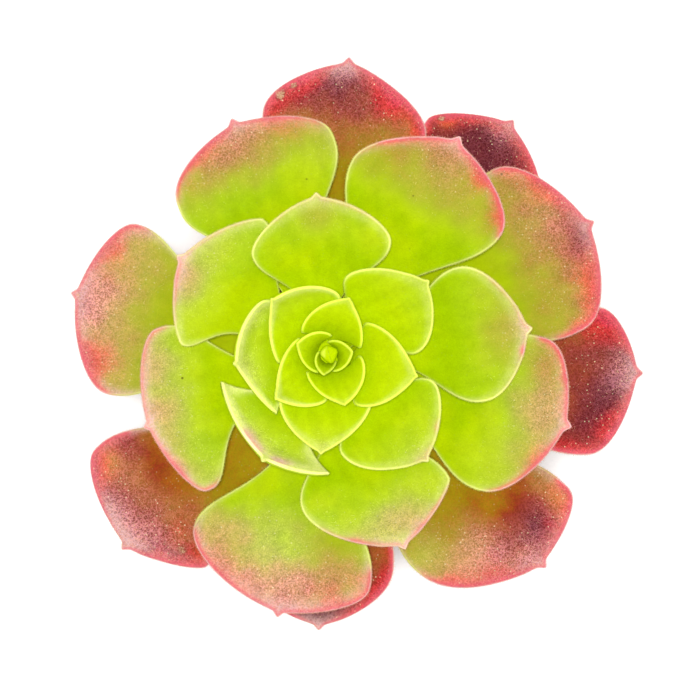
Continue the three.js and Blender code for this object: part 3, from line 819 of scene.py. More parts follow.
LEAVES: tuple[Leaf, ...] = (
    Leaf(0, 257, 3.9, Side(2.9, 0.5, 1.0), Side(4.0, 0.56, 1.1), tint=Tint(frost=0.15)),
    Leaf(1, 12, 5.4, Side(4.1, 0.6, 1.4), Side(4.8, 0.6, 1.2), tint=Tint(frost=0.15)),
    Leaf(2, 156, 7.1, Side(5.4, 0.56, 1.1), Side(6.2, 0.66, 1.4), tint=Tint(frost=0.15)),
    Leaf(3, 290, 10.7, Side(8.4, 0.66, 1.7), Side(7.4, 0.52, 1.1), tint=Tint(frost=0.25)),
    Leaf(4, 70, 13.1, Side(8.6, 0.6, 1.6), Side(7.0, 0.56, 1.2), tint=Tint(frost=0.25)),
    Leaf(5, 219, 13.9, Side(8.0, 0.66, 1.5), Side(8.8, 0.53, 1.0), (2.5, 0.75), Tint(down=0.08, frost=0.6)),
    Leaf(6, 348, 19.0, Side(9.9, 0.58, 1.5), Side(9.7, 0.62, 1.8), tint=Tint(down=0.06, frost=0.35)),
    Leaf(7, 134, 16.8, Side(9.9, 0.63, 1.0), Side(12.4, 0.78, 2.0), (3.5, 0.74), tint=Tint(
        down=0.12, frost=0.6)),
    Leaf(8, 266, 20.2, Side(11.2, 0.66, 1.3), Side(10.5, 0.68, 1.6), tint=Tint(
        down=0.1, frost=0.4, patches=(
            Patch(0.95, 0.1, 2.4, red=0.1, down=0.35),
        ))),
    Leaf(9, 37, 26.2, Side(12.0, 0.67, 1.6), Side(11.7, 0.72, 2.2), tint=Tint(
        tip=0.04, start=0.75, right=0.1, band=0.6, down=0.1, frost=0.3)),
    Leaf(10, 184, 19.6, Side(12.8, 0.82, 0.6, sharp=True), Side(14.6, 0.86, 4.5), (5.0, 0.78), tint=Tint(
        down=0.2, frost=0.8, patches=(
            Patch(0.86, 0.1, 3.5, red=0.06, down=0.4), Patch(0.83, -0.7, 2.5, down=0.4),
            Patch(0.78, 0.5, 2.5, down=0.35),
        ))),
    Leaf(11, 314, 30.0, Side(13.2, 0.76, 1.8, 1.5), Side(13.4, 0.69, 2.1), tint=Tint(
        tip=0.08, start=0.7, left=0.12, right=0.1, band=0.8, down=0.16, frost=0.3, patches=(
            Patch(0.95, 0.2, 3.0, red=0.12, down=0.25), Patch(0.88, 0.9, 1.6, red=0.15),
        ))),
    Leaf(12, 94, 34.1, Side(15.3, 0.78, 1.75), Side(16.0, 0.8, 2.1), tint=Tint(
        tip=0.09, start=0.62, left=0.22, right=0.24, band=0.7, down=0.1, frost=0.35, patches=(
            Patch(0.84, 0.0, 3.6, pigment=0.13, down=0.08),
        ))),
    Leaf(13, 238, 25.5, Side(14.3, 0.95, 1.2, 2.8, sharp=True), Side(18.2, 0.894, 0.68, 1.77, sharp=True),
         (7.0, 0.8), tint=Tint(
        down=0.25, frost=1.0, patches=(
            Patch(0.94, 0.2, 1.8, red=0.32), Patch(0.92, 0.4, 1.8, red=0.2),
            Patch(0.9, -0.64, 2.2, red=0.3), Patch(0.93, -0.45, 1.8, red=0.26),
            Patch(0.9, -0.2, 4.0, red=0.06, down=0.3), Patch(0.88, -0.65, 3.0, down=0.3),
        ))),
    Leaf(14, 8, 42.7, Side(15.5, 0.77, 2.3), Side(14.5, 0.77, 2.7), tint=Tint(
        tip=0.14, start=0.6, left=0.26, right=0.2, band=0.8, down=0.12, frost=0.4, patches=(
            Patch(0.82, 0.05, 6.0, pigment=0.15, down=0.06), Patch(0.94, 0.0, 3.0, down=0.15),
            Patch(0.94, -0.8, 1.2, red=0.3),
        ))),
    Leaf(15, 146, 37.8, Side(15.9, 0.81, 1.4, 2.4, 5.0), Side(17.5, 0.84, 1.4), tint=Tint(
        tip=0.1, start=0.66, left=0.34, right=0.26, band=0.8, down=0.3, frost=0.5, patches=(
            Patch(0.88, 0.25, 5.0, pigment=0.2, red=0.08, down=0.35),
        ))),
    Leaf(16, 292, 43.1, Side(15.0, 0.83, 1.4), Side(17.8, 0.75, 2.0), tint=Tint(
        tip=0.13, start=0.6, left=0.38, right=0.36, band=0.9, down=0.3, frost=0.4, patches=(
            Patch(0.86, 0.3, 5.0, pigment=0.16, down=0.3), Patch(0.84, -0.2, 4.5, pigment=0.06, down=0.25),
            Patch(0.88, -0.85, 2.4, red=0.15), Patch(0.9, 0.6, 2.0, red=0.15),
        ))),
    Leaf(17, 59, 53.3, Side(17.4, 0.78, 1.95), Side(18.8, 0.82, 2.5), tint=Tint(
        tip=0.3, start=0.52, left=0.55, right=0.62, band=1.6, down=0.14, frost=0.3, patches=(
            Patch(0.85, -0.05, 8.5, pigment=0.18, down=0.14),
            Patch(0.93, 0.0, 4.0, pigment=0.06, down=0.06), Patch(0.9, -0.6, 3.4, red=0.35),
            Patch(0.84, -0.88, 3.0, pigment=0.15, red=0.2), Patch(0.83, 0.7, 4.0, pigment=0.15),
        ))),
    Leaf(18, 201, 41.3, Side(18.1, 0.89, 4.5, 2.15), Side(19.7, 0.86, 3.9), tint=Tint(
        tip=0.17, start=0.62, left=0.46, right=0.4, band=1.1, down=0.36, frost=0.4, patches=(
            Patch(0.88, -0.1, 5.0, pigment=0.2, down=0.3), Patch(0.84, -0.6, 5.0, pigment=0.16, down=0.3),
            Patch(0.95, 0.9, 3.0, pigment=0.1, red=0.25),
        ))),
    Leaf(19, 344, 52.9, Side(17.2, 0.82, 4.5), Side(18.8, 0.79, 2.6), tint=Tint(
        tip=0.2, start=0.6, left=0.55, right=0.5, band=1.4, down=0.25, frost=0.3, patches=(
            Patch(0.86, 0.05, 7.0, pigment=0.22, down=0.3), Patch(0.93, 0.8, 1.8, red=0.25),
            Patch(0.85, 0.65, 4.5, pigment=0.24, red=0.12), Patch(0.9, -0.6, 3.4, red=0.25),
        ))),
    Leaf(20, 112, 53.8, Side(18.0, 0.8, 3.6, 1.75), Side(19.4, 0.84, 4.0, 1.5), tint=Tint(
        tip=0.26, start=0.6, left=0.85, right=0.65, band=2.3, down=0.2, frost=0.3, rise=(0.76, 0.84),
        patches=(
            Patch(0.88, 0.0, 6.0, pigment=0.28, down=0.12), Patch(0.96, 0.1, 3.0, down=0.2),
            Patch(0.85, 0.35, 6.0, pigment=0.16, down=0.08),
            Patch(0.91, -0.65, 4.0, pigment=0.16, red=0.26), Patch(0.84, 0.85, 4.0, pigment=0.05),
        ))),
    Leaf(21, 259, 55.6, Side(18.8, 0.86, 3.8), Side(21.8, 0.82, 2.2, 1.7), tint=Tint(
        base=0.04, tip=0.25, start=0.5, left=0.6, right=0.55, band=1.8, down=0.5, frost=0.6, patches=(
            Patch(0.85, -0.7, 5.0, pigment=0.2, red=0.2, down=-0.1),
            Patch(0.92, 0.1, 5.5, pigment=0.34, red=0.1, down=0.1),
            Patch(0.89, 0.6, 5.0, pigment=0.16, red=0.28, down=-0.1),
            Patch(0.86, -0.33, 4.0, pigment=0.12, red=0.1), Patch(0.76, -0.75, 7.0, pigment=0.1, down=0.1),
            Patch(0.74, 0.55, 7.0, pigment=0.16, down=-0.1), Patch(0.7, -0.15, 9.0, down=0.3),
        ))),
    Leaf(22, 27, 62.7, Side(20.0, 0.83, 2.6), Side(20.1, 0.82, 4.2), tint=Tint(
        base=0.12, tip=0.54, start=0.54, left=0.85, right=0.75, band=2.4, down=0.24, frost=0.4,
        rise=(0.76, 0.68), patches=(
            Patch(0.86, 0.2, 7.0, pigment=0.1, down=0.12), Patch(0.85, -0.15, 5.5, pigment=0.14),
            Patch(0.89, 0.6, 4.0, red=0.28), Patch(0.89, -0.55, 4.5, red=0.28),
            Patch(0.95, -0.1, 3.4, pigment=0.22, red=-0.2),
        ))),
    Leaf(23, 166, 55.9, Side(19.7, 0.84, 2.6), Side(18.2, 0.87, 2.8, 1.6), tint=Tint(
        base=0.17, tip=0.46, start=0.54, left=0.6, right=0.6, band=2.6, down=0.5, frost=0.6,
        rise=(0.74, 0.76), patches=(
            Patch(0.93, 0.1, 6.0, pigment=0.22, red=-0.2, down=0.35), Patch(0.98, 0.32, 1.2, dry=0.8),
            Patch(0.9, -0.6, 5.0, red=0.35, down=-0.1), Patch(0.87, 0.7, 6.0, red=0.4, down=-0.1),
            Patch(0.84, 0.0, 6.0, red=0.12),
        ))),
    Leaf(24, 316, 64.0, Side(16.1, 0.86, 4.8), Side(19.9, 0.76, 2.6), tint=Tint(
        base=0.42, tip=0.57, start=0.5, left=0.9, right=0.75, band=2.6, down=0.26, frost=0.4,
        rise=(0.78, 0.7), patches=(
            Patch(0.72, -0.85, 6.0, pigment=-0.25, down=0.15), Patch(0.86, 0.0, 6.0, pigment=0.22),
            Patch(0.85, 0.42, 6.0, pigment=0.26), Patch(0.88, 0.82, 4.0, pigment=-0.15, red=0.35),
            Patch(0.85, -0.6, 6.0, pigment=-0.05, red=0.3, down=0.3), Patch(0.78, -0.35, 5.0, down=0.16),
            Patch(0.72, 0.35, 7.0, pigment=0.07, down=-0.2), Patch(0.95, -0.25, 4.0, down=0.5),
        ))),
    Leaf(25, 86, 63.6, Side(18.2, 0.83, 2.7), Side(18.0, 0.81, 1.9), tint=Tint(
        base=0.42, tip=0.78, start=0.52, left=0.95, right=0.95, band=3.6, down=0.18, frost=0.4,
        rise=(0.68, 0.62), patches=(
            Patch(0.96, 0.19, 3.0, red=-0.4, down=0.5), Patch(0.88, 0.1, 5.5, pigment=0.24, red=-0.25),
            Patch(0.9, 0.6, 4.0, pigment=0.06, red=0.25), Patch(0.86, -0.6, 4.0, red=0.4),
            Patch(0.88, 0.88, 1.2, dry=0.9), Patch(0.9, 0.78, 0.8, dry=0.7),
        ))),
    Leaf(26, 223, 60.0, Side(15.6, 0.86, 1.4, 1.35, 6.2), Side(20.3, 0.87, 3.4, 1.5), tint=Tint(
        base=0.42, tip=0.84, start=0.5, left=0.9, right=0.7, band=2.4, down=0.3, rise=(0.76, 0.66),
        frost=0.7, patches=(
            Patch(0.96, -0.1, 4.5, red=-0.4, down=0.5), Patch(0.95, -0.6, 3.5, red=-0.2, down=0.5),
            Patch(0.88, -0.82, 4.5, pigment=-0.3, red=0.5), Patch(0.74, -0.9, 4.0, pigment=0.16),
            Patch(0.64, -0.4, 6.0, pigment=0.12, down=-0.2), Patch(0.8, 0.35, 5.0, red=0.3, down=-0.1),
            Patch(0.86, 0.3, 5.0, down=0.2), Patch(0.84, 0.58, 1.3, dry=0.62),
            Patch(0.83, 0.86, 3.5, red=0.5, down=-0.2),
        ))),
    Leaf(27, 357, 67.1, Side(14.0, 0.87, 2.4), Side(18.7, 0.83, 4.4), tint=Tint(
        base=0.72, tip=0.92, start=0.6, left=1.0, right=1.0, band=2.6, down=0.12, rise=(0.6, 0.6),
        frost=0.35, patches=(
            Patch(0.94, 0.05, 4.5, red=-0.5, down=0.55), Patch(0.87, -0.35, 6.0, pigment=0.12),
            Patch(0.87, 0.7, 5.0, pigment=-0.1, red=0.5), Patch(0.92, -0.85, 4.0, red=0.35),
            Patch(0.78, 0.6, 4.0, pigment=-0.08, red=0.12),
        ))),
    Leaf(29, 268, 58.7, Side(16.0, 0.79, 2.8), Side(16.0, 0.8, 3.0), tint=Tint(
        base=0.6, tip=0.84, start=0.5, left=0.9, right=0.85, band=2.4, down=0.1, frost=0.3, rise=(0.6, 0.8),
        patches=(
            Patch(0.97, -0.4, 6.0, pigment=0.3, red=-0.5), Patch(0.85, 0.85, 5.0, red=0.25),
        ))),
    Leaf(30, 52, 64.6, Side(15.2, 0.86, 1.6), Side(15.8, 0.85, 2.3), tint=Tint(
        base=0.88, tip=0.97, start=0.5, left=1.0, right=1.0, band=2.7, down=0.12, frost=0.35,
        rise=(0.6, 0.6), patches=(
            Patch(0.95, 0.05, 3.6, down=0.35), Patch(0.88, 0.9, 3.4, pigment=-0.5, red=0.25),
            Patch(0.86, 0.87, 0.8, dry=0.9), Patch(0.83, 0.16, 6.0, pigment=0.1),
        ))),
)


@dataclass(frozen=True)
class Face:
    """A leaf's upper face in rows and columns: its points, normals, down and redness."""

    points: Array
    normals: Array
    down: Array
    red: Array


@dataclass
class Rosette:
    """The leaves and the bud of the rosette, each drawn in polar rows about the heart.

    Attributes:
        blade_end: Distance from the heart over the reach where the blade ends and its small point goes on.
        small_blade_end: The same for the smallest and the lowest leaves.
        point_length: Longest way back from the tip over which the point widens.
        trim: How far the grown leaves' sides are taken in, for their rounded margins and hairs.
        twist: Rise towards one side at the tip, over the distance to that side.
        wave: Rise of the waved margin over the half-width.
        row_crowding: Power that brings the rows closer to each other towards the tip.
        most_lift: Most that the colour of a steep place is raised.
        young_lift: What the youngest leaves have on top of it.
        bead_lift: Most that the colour of the rounded margin is raised.
        frost_painted_light: What full pale bloom adds to it on the upper leaves, as painted light on their
            steep margins.
        relief_shading: Painted light and shade of shallow creases and dents, uneven along and across the
            blade.
        base_shadow: Darkening of the lower leaves at their base.
        tip_frost: Size of the pale spot at the grown leaves' tips.
        bare: Down below which no hair stands.
        cushion_top: Height of the dome under the youngest leaves.
        cushion_fall: Fall of the dome over the radius squared.
        core: The bud's core as heights and shares of its full width.
        corners: The azimuths and distances of its cap's four corners.
        roundness: How much the cap's outline is drawn to a circle.
        cap_shift: The cap's place from the heart.
        fold_turn: Azimuth of the side on which one flap of the cap lies over the other.
        fold_lift: Height of that flap.
        lit_turn: Radians from the fold to the side of the cap's brim that gets the painted highlight.
        brim: Where the cap's brim is on the way up the core.
    """

    blade_end: float = 0.976
    small_blade_end: float = 0.98
    point_length: float = 2.2
    trim: float = 0.35
    twist: float = 0.035
    wave: float = 0.018
    row_crowding: float = 1.6
    hair_step: float = 0.14
    hair_length: float = 0.4
    hair_radius: float = 0.042
    down_density: float = 7.0
    down_length: float = 0.75
    down_radius: float = 0.028
    bare: float = 0.04
    most_lift: float = 1.26
    young_lift: float = 0.04
    bead_lift: float = 1.5
    frost_painted_light: float = 0.16
    relief_shading: float = 0.05
    base_shadow: float = 0.15
    tip_frost: float = 2.8
    cushion_top: float = 104.8
    cushion_fall: float = 0.2
    core: tuple[tuple[float, float], ...] = (
        (102.5, 0.3), (104.0, 0.45), (105.6, 0.65), (107.2, 0.9), (108.1, 1.0), (108.7, 0.94), (109.1, 0.7),
        (109.25, 0.2),
    )
    corners: tuple[tuple[float, float], ...] = ((29.0, 2.5), (111.0, 2.6), (172.0, 2.3), (288.0, 2.3))
    roundness: float = 0.35
    cap_shift: tuple[float, float] = (0.25, 0.4)
    fold_turn: float = 195.0
    fold_lift: float = 0.35
    lit_turn: float = -0.5
    brim: float = 0.86
    seed: int = 11

    def half_width(self, leaf: Leaf, side: Side, u: Array) -> Array:
        """Half-width of one side of a blade.

        From the base to the widest place it is a smooth step of the way raised to the neck; a sharp side
        leaves out the smooth step. From there to the blade's end it is one minus the way raised to the
        fullness. The trim is taken off the grown leaves' width. A small point is added by root of squares.

        Args:
            leaf: The leaf.
            side: Its left or right side.
            u: Distance from the heart over the reach.

        Returns:
            Arc length from the middle line to the margin.
        """
        base = side.base if side.base is not None else stepped(BASE_HALF_WIDTH, leaf.order)
        end = self.small_blade_end if leaf.reach < 15 or leaf.order > 20 else self.blade_end
        rise = np.clip((u - leaf.start) / (side.widest - leaf.start), 0.0, 1.0) ** side.neck
        rise = rise if side.sharp else smooth(rise)
        fall = 1.0 - np.clip((u - side.widest) / (end - side.widest), 0.0, 1.0) ** side.fullness
        width = side.width - self.trim * leaf.older(6, 4)
        blade = np.where(u < side.widest, base + (width - base) * rise, width * fall)
        short = np.minimum((1.0 - u) * leaf.reach, self.point_length)
        point = 0.4 * (1.0 - np.exp(-short / 0.25)) + 0.35 * short + 0.3 * short * short
        return np.hypot(blade, point * np.clip((u - 0.88) / 0.07, 0.0, 1.0))

    def place(self, leaf: Leaf, u: Array, offset: Array) -> Array:
        """Middle surface of a leaf.

        A row lies at one distance from the heart. Its azimuth runs from the base's place in the spiral to the
        tip's, and a point stands off it by an arc. The slope goes in a straight line from the base's to the
        tip's. A cup, a twist, a waved margin and a turned-up rim are added to the height.

        Args:
            leaf: The leaf.
            u: Distance from the heart over the reach.
            offset: Arc distance from the middle line, positive to the left.

        Returns:
            The points.
        """
        x = (u - leaf.start) / (1.0 - leaf.start)
        rho = u * leaf.reach
        base = FIRST_AZIMUTH + GOLDEN_ANGLE * leaf.order
        sway = (leaf.azimuth - base + 180.0) % 360.0 - 180.0
        azimuth = np.radians(base + sway * x * (2.0 - x)) + offset / rho
        slope0 = math.tan(math.radians(stepped(BASE_SLOPE, leaf.order)))
        slope1 = math.tan(math.radians(stepped(TIP_SLOPE, leaf.order)))
        mean = leaf.mean_width
        across = np.abs(offset) / mean
        climb = (1.0 - leaf.start) * leaf.reach * (slope0 * x + (slope1 - slope0) * x * x / 2)
        z = stepped(BASE_HEIGHT, leaf.order) + climb
        z = z + stepped(CUP, leaf.order) * mean * across**2 * np.minimum(1.0, 1.6 * x)
        z = z + self.twist * math.sin(2.4 * leaf.order + 0.6) * offset * x
        phase = np.sin(math.tau * (1.6 * u + 0.37 * leaf.order + 0.25 * np.sign(offset)))
        z = z + self.wave * mean * across**3 * phase * x
        height, begin = leaf.rim
        z = z + height * np.clip((u - begin) / (1.0 - begin), 0.0, 1.0) ** 2
        return np.stack([HEART[0] + rho * np.cos(azimuth), HEART[1] + rho * np.sin(azimuth), z], axis=-1)

    def middle(self, leaf: Leaf, u: Array, v: Array) -> tuple[Array, Array]:
        """Middle surface of a leaf in rows and columns.

        Args:
            leaf: The leaf.
            u: Distance from the heart over the reach.
            v: Place across, -1 at the right margin and 1 at the left.

        Returns:
            The points, and the half-width at each.
        """
        s = np.where(v > 0, self.half_width(leaf, leaf.left, u), self.half_width(leaf, leaf.right, u))
        return self.place(leaf, u, v * s), s

    def normals(self, leaf: Leaf, u: Array, offset: Array) -> Array:
        """Upward unit normals of the middle surface, from short steps outward and across."""
        du, step = 0.004, 0.2
        outer = np.minimum(1.0, u + du)
        along = self.place(leaf, outer, offset) - self.place(leaf, outer - 2.0 * du, offset)
        across = self.place(leaf, u, offset + step) - self.place(leaf, u, offset - step)
        return unit(np.cross(along, across))

    def crowded(self, count: int) -> Array:
        """Evenly counted places from 0 to 1 that lie closer to each other towards 1."""
        return 1.0 - (1.0 - np.linspace(0.0, 1.0, count)) ** self.row_crowding

    def grid(self, leaf: Leaf) -> tuple[Array, Array]:
        """Rows and columns of a leaf: rows closer to each other at the tip, columns at the margins.

        Args:
            leaf: The leaf.

        Returns:
            Row places from just inside the base to the tip, and column places from -1 to 1.
        """
        rows, columns = (46, 40) if leaf.order < 9 else (76, 58)
        inward = min(1.1, 0.25 * stepped(BASE_RADIUS, leaf.order)) / leaf.reach
        u = (leaf.start - inward) + (1.0 - leaf.start + inward) * self.crowded(rows)
        q = np.linspace(-1.0, 1.0, columns)
        return u, 0.3 * q + 0.7 * np.sin(0.5 * math.pi * q)

    def margin_distance(self, leaf: Leaf, points: Array) -> Array:
        """Distance from each point to the nearest point of the leaf's outline, in millimetres.

        Args:
            leaf: The leaf.
            points: Grid of points, rows by columns.

        Returns:
            The distances, rows by columns.
        """
        u = leaf.start + (1.0 - leaf.start) * self.crowded(260)
        outline = np.concatenate([self.middle(leaf, u, np.full_like(u, edge))[0] for edge in (1.0, -1.0)])
        flat = points.reshape(-1, 3)
        gap = np.sqrt(((flat[:, None, :] - outline[None, :, :]) ** 2).sum(axis=-1)).min(axis=1)
        return gap.reshape(points.shape[:2])

    def colouring(self, leaf: Leaf, x: Array, v: Array, margin: Array, points: Array) -> dict[str, Array]:
        """Pigment, red, down, dead skin and frost of a leaf, each 0 to 1, for its material.

        Pigment goes in a smooth step from the base's to the tip's. Red falls off with the distance from the
        margin and starts some way out. Down rises over the outer half. A slow wave makes each uneven, and the
        leaf's patches are added, each falling off as a bell curve. Pale bloom lies along the margin where it
        isn't red, where it also paints the sheen of steep margins, and in a spot at the tip.

        Args:
            leaf: The leaf.
            x: Way along the leaf, 0 at the base and 1 at the tip.
            v: Place across.
            margin: Distance from the margin in millimetres.
            points: The points, for the unevenness and the patches.

        Returns:
            The attributes by name.
        """
        t = leaf.tint
        uneven = ripple(points[..., 0], points[..., 1], leaf.order + 0.3, 12.0)
        wavy = x + 0.03 * uneven
        pigment = t.base + (t.tip - t.base) * smooth((wavy - t.start) / (1.0 - t.start))
        pigment = pigment + 0.03 * uneven * (t.base > 0.0)
        leftness = smooth(0.5 + 2.0 * v)
        side = t.right + (t.left - t.right) * leftness
        rise = t.rise[1] + (t.rise[0] - t.rise[1]) * leftness
        width = t.band * (1.0 + 0.35 * uneven)
        red = side * np.exp(-((margin / width) ** 1.4)) * smooth((wavy - rise) / 0.16)
        down = t.down * smooth((wavy - 0.52) / 0.4)
        dry = np.zeros_like(red)
        for patch in t.patches:
            u = np.array([leaf.start + (1.0 - leaf.start) * patch.along])
            middle, _ = self.middle(leaf, u, np.array([patch.across]))
            gap = np.linalg.norm(points - middle[0], axis=-1) / (patch.size * (1.0 + 0.25 * uneven))
            bell = np.exp(-(gap**2))
            pigment = pigment + patch.pigment * bell
            red = red + patch.red * bell
            down = down + patch.down * bell
            dry = dry + patch.dry * np.exp(-(gap**4))
        # Pale bloom along the margin, which also paints the sheen of steep downy margins, and a pale spot at
        # the tip.
        reach = (0.6 + 2.0 * smooth((x - 0.6) / 0.4)) * min(1.0, leaf.reach / 24.0) * (0.75 + 0.6 * t.frost)
        bloom = np.exp(-((margin / reach) ** 2.5)) * smooth((x - 0.35) / 0.3)
        bloom = bloom * (1.0 - 0.6 * np.clip(1.5 * red, 0.0, 1.0))
        near_tip = np.exp(-(((1.0 - x) * leaf.reach / self.tip_frost) ** 2)) * leaf.older(6, 14)
        values = {
            "fresh": 1.0 - leaf.older(4, 10) + 0.8 * (1.0 - smooth((x - 0.2) / 0.4)),
            "pigment": pigment, "flush": red, "down": down, "dry": dry,
            "frost": t.frost * bloom + 0.8 * near_tip,
        }
        return {name: np.clip(value, 0.0, 1.0) for name, value in values.items()}

    def lift(self, leaf: Leaf, x: Array, steep: Array, bead: Array, frost: Array) -> Array:
        """How far the colour is raised, so that steep and rounded places don't look too dark.

        A steep place is raised by one over a mean of its upward share and of the open sky over it. A rounded
        margin is raised by the root of one plus its slope squared. On the upper leaves the pale bloom raises
        it a little more, as painted light on their steep margins.

        Args:
            leaf: The leaf.
            x: Way along the leaf.
            steep: Upward share of the normal.
            bead: Slope of the rounded margin.
            frost: The pale bloom with its painted sheen.

        Returns:
            The factor, before the painted crease and dent shading and the painted shadow at the base.
        """
        open_sky = 0.55 + 0.45 * smooth((x - 0.1) / 0.5)
        most = self.most_lift + self.young_lift * (leaf.order < 6)
        lift = np.clip(1.0 / (0.7 * steep + 0.3 * open_sky), 1.0, most)
        most_bead = 1.0 + (self.bead_lift - 1.0) * leaf.older(0, 12)
        lift = lift * np.minimum(np.sqrt(1.0 + bead**2), most_bead)
        return lift * (1.0 + self.frost_painted_light * frost**2 * (leaf.order < 20))

    def blade(self, surface: Surface, leaf: Leaf) -> Face:
        """Adds a leaf's closed blade: rings of points around it, from the base to the tip.

        Each ring runs over the upper face and back under the lower one. The faces stand off the middle
        surface along its normal by half the thickness, rounded to nothing within a short way of the margin.

        Args:
            surface: The mesh being gathered.
            leaf: The leaf.

        Returns:
            The upper face, for what grows on it.
        """
        u, v = self.grid(leaf)
        uu, vv = np.meshgrid(u, v, indexing="ij")
        points, s = self.middle(leaf, uu, vv)
        normal = self.normals(leaf, uu, vv * s)
        margin = self.margin_distance(leaf, points)

        thin = stepped(MARGIN, leaf.order)
        full = stepped(THICKNESS, leaf.order)
        mean = leaf.mean_width
        body = (1.0 - np.abs(vv) ** 3) * np.sqrt(np.clip((1.0 - uu) / 0.25, 0.0, 1.0))
        half = 0.5 * (thin + (full - thin) * body)
        rounding = 0.55 * thin + 0.1
        edge = np.clip((1.0 - np.abs(vv)) * s / rounding, 0.0, 1.0)
        tip = np.clip((1.0 - uu) * leaf.reach / (0.5 * thin + 0.1), 0.0, 1.0)
        bead = half * (1.0 - edge) / rounding / np.sqrt(np.maximum(1.0 - (1.0 - edge) ** 2, 0.04))
        half = half * np.sqrt(1.0 - (1.0 - edge) ** 2) * np.sqrt(1.0 - (1.0 - tip) ** 2)
        uneven = 0.006 * mean * ripple(points[..., 0], points[..., 1], leaf.order * 1.3, 0.9 * mean + 2.0)
        groove = -0.05 * full * np.exp(-((vv * s / (0.12 * mean)) ** 2)) * smooth(uu / 0.4)
        upper = points + normal * (half + (uneven + groove) * edge)[..., None]
        lower = points - normal * (half - uneven * edge)[..., None]

        x = (uu - leaf.start) / (1.0 - leaf.start)
        tints = self.colouring(leaf, x, vv, margin, points)
        # Painted light and shade of shallow creases along the blade and of dents, and a painted shadow at the
        # base of the lower leaves.
        crease_shading = ripple(vv * s, 0.35 * uu * leaf.reach, leaf.order + 0.7, 0.16 * mean + 1.2)
        dent_shading = ripple(points[..., 0], points[..., 1], leaf.order + 5.1, 0.3 * mean + 1.0)
        shadow = self.base_shadow * np.exp(-((x / 0.3) ** 2)) * leaf.older(9, 6)
        shade = (1.0 + self.relief_shading * (crease_shading + 0.8 * dent_shading)) * (1.0 - shadow)
        lift = shade * self.lift(leaf, x, np.abs(normal[..., 2]), bead, tints["frost"])
        tints["lift"] = np.minimum(lift, self.bead_lift)
        tints["margin"] = margin + 3.0 * (1.0 - smooth((x - 0.5) / 0.12)) * (leaf.order > 21)

        def ring(top: Array, bottom: Array) -> Array:
            """The upper row from right to left, then the lower row back without its ends."""
            return np.concatenate([top, bottom[:, -2:0:-1]], axis=1)

        def spread(top: Array, bottom: Array) -> Array:
            """Attribute values in the same order as the points, with the two hubs at the end."""
            value = ring(top, bottom)
            return np.concatenate([value.ravel(), [value[0].mean(), value[-1].mean()]])

        sides = np.where(half > 1e-3, 1.0, 0.5)
        surface.add(
            *closed(ring(upper, lower), flip=True), upper=spread(sides, 1.0 - sides),
            **{name: spread(value, value) for name, value in tints.items()},
        )
        return Face(upper, normal, tints["down"] * edge, tints["flush"] + tints["pigment"])

    def hairs(self, surface: Surface, leaf: Leaf, rng: np.random.Generator) -> None:
        """Adds the hairs of a leaf's margin: thin three-sided spikes, spaced along it with some scatter.

        Args:
            surface: The mesh being gathered.
            leaf: The leaf.
            rng: Source of the scatter.
        """
        u = leaf.start + (0.999 - leaf.start) * (0.3 + 0.7 * self.crowded(400))
        size = min(1.0, 0.45 + 0.04 * leaf.order)
        radius = self.hair_radius * size
        for edge in (1.0, -1.0):
            line, _ = self.middle(leaf, u, np.full_like(u, edge))
            inner, _ = self.middle(leaf, u, np.full_like(u, edge * 0.94))
            length = np.concatenate([[0.0], np.cumsum(np.linalg.norm(np.diff(line, axis=0), axis=1))])
            count = max(4, int(length[-1] / (self.hair_step * size)))
            spot = (np.arange(count) + rng.uniform(0.1, 0.9, count)) / count * length[-1]
            root = columns_at(spot, length, line)
            run = unit(columns_at(spot, length, np.gradient(line, axis=0)))
            out = columns_at(spot, length, line - inner)
            out = unit(out - (out * run).sum(axis=1, keepdims=True) * run)
            lean = rng.normal(0.0, 0.28, (count, 1))
            lift = rng.normal(0.05, 0.25, (count, 1))
            way = unit(out + lean * run + lift * np.cross(run, out) * edge)
            reach = self.hair_length * size * rng.uniform(0.5, 1.15, (count, 1))
            side = unit(np.cross(way, run))
            third = np.cross(way, side)
            foot = root - 0.12 * size * way
            corners = [foot + radius * (math.cos(a) * side + math.sin(a) * third) for a in circle(3)]
            x = np.interp(spot, length, (u - leaf.start) / (1.0 - leaf.start))
            tints = self.colouring(leaf, x, np.full(count, edge), np.zeros(count), root)
            surface.spikes([*corners, root + reach * way], 1, tints["flush"] + 0.8 * tints["pigment"])

    def down(self, surface: Surface, face: Face, rng: np.random.Generator) -> None:
        """Adds the down of an upper face: thin three-sided hairs that lie nearly flat, most of them outward.

        Cells of the face are drawn by their area times their down. A hair stands at a random place in each.

        Args:
            surface: The mesh being gathered.
            face: The upper face.
            rng: Source of the scatter.
        """
        a, b, c = face.points[:-1, :-1], face.points[1:, :-1], face.points[:-1, 1:]
        area = np.linalg.norm(np.cross(b - a, c - a), axis=-1)
        weight = area * np.maximum(0.0, face.down[:-1, :-1] - self.bare)
        count = int(self.down_density * weight.sum())
        if count < 1:
            return
        cell = rng.choice(weight.size, count, p=weight.ravel() / weight.sum())
        i, j = np.unravel_index(cell, weight.shape)
        s, t = rng.random((2, count, 1))
        root = a[i, j] + s * (b - a)[i, j] + t * (c - a)[i, j]
        normal = face.normals[i, j]
        way = 0.7 * unit((b - a)[i, j]) + rng.normal(0.0, 0.75, (count, 3))
        way = way - (way * normal).sum(axis=1, keepdims=True) * normal
        way = unit(way) + rng.uniform(0.1, 0.5, (count, 1)) * normal
        side = unit(np.cross(way, normal))
        radius = self.down_radius * rng.uniform(0.7, 1.2, (count, 1))
        reach = self.down_length * rng.uniform(0.4, 1.3, (count, 1))
        foot = root - 0.04 * normal
        corners = [foot + radius * side, foot + 1.4 * radius * normal, foot - radius * side]
        surface.spikes([*corners, root + reach * way], 1, face.red[i, j])

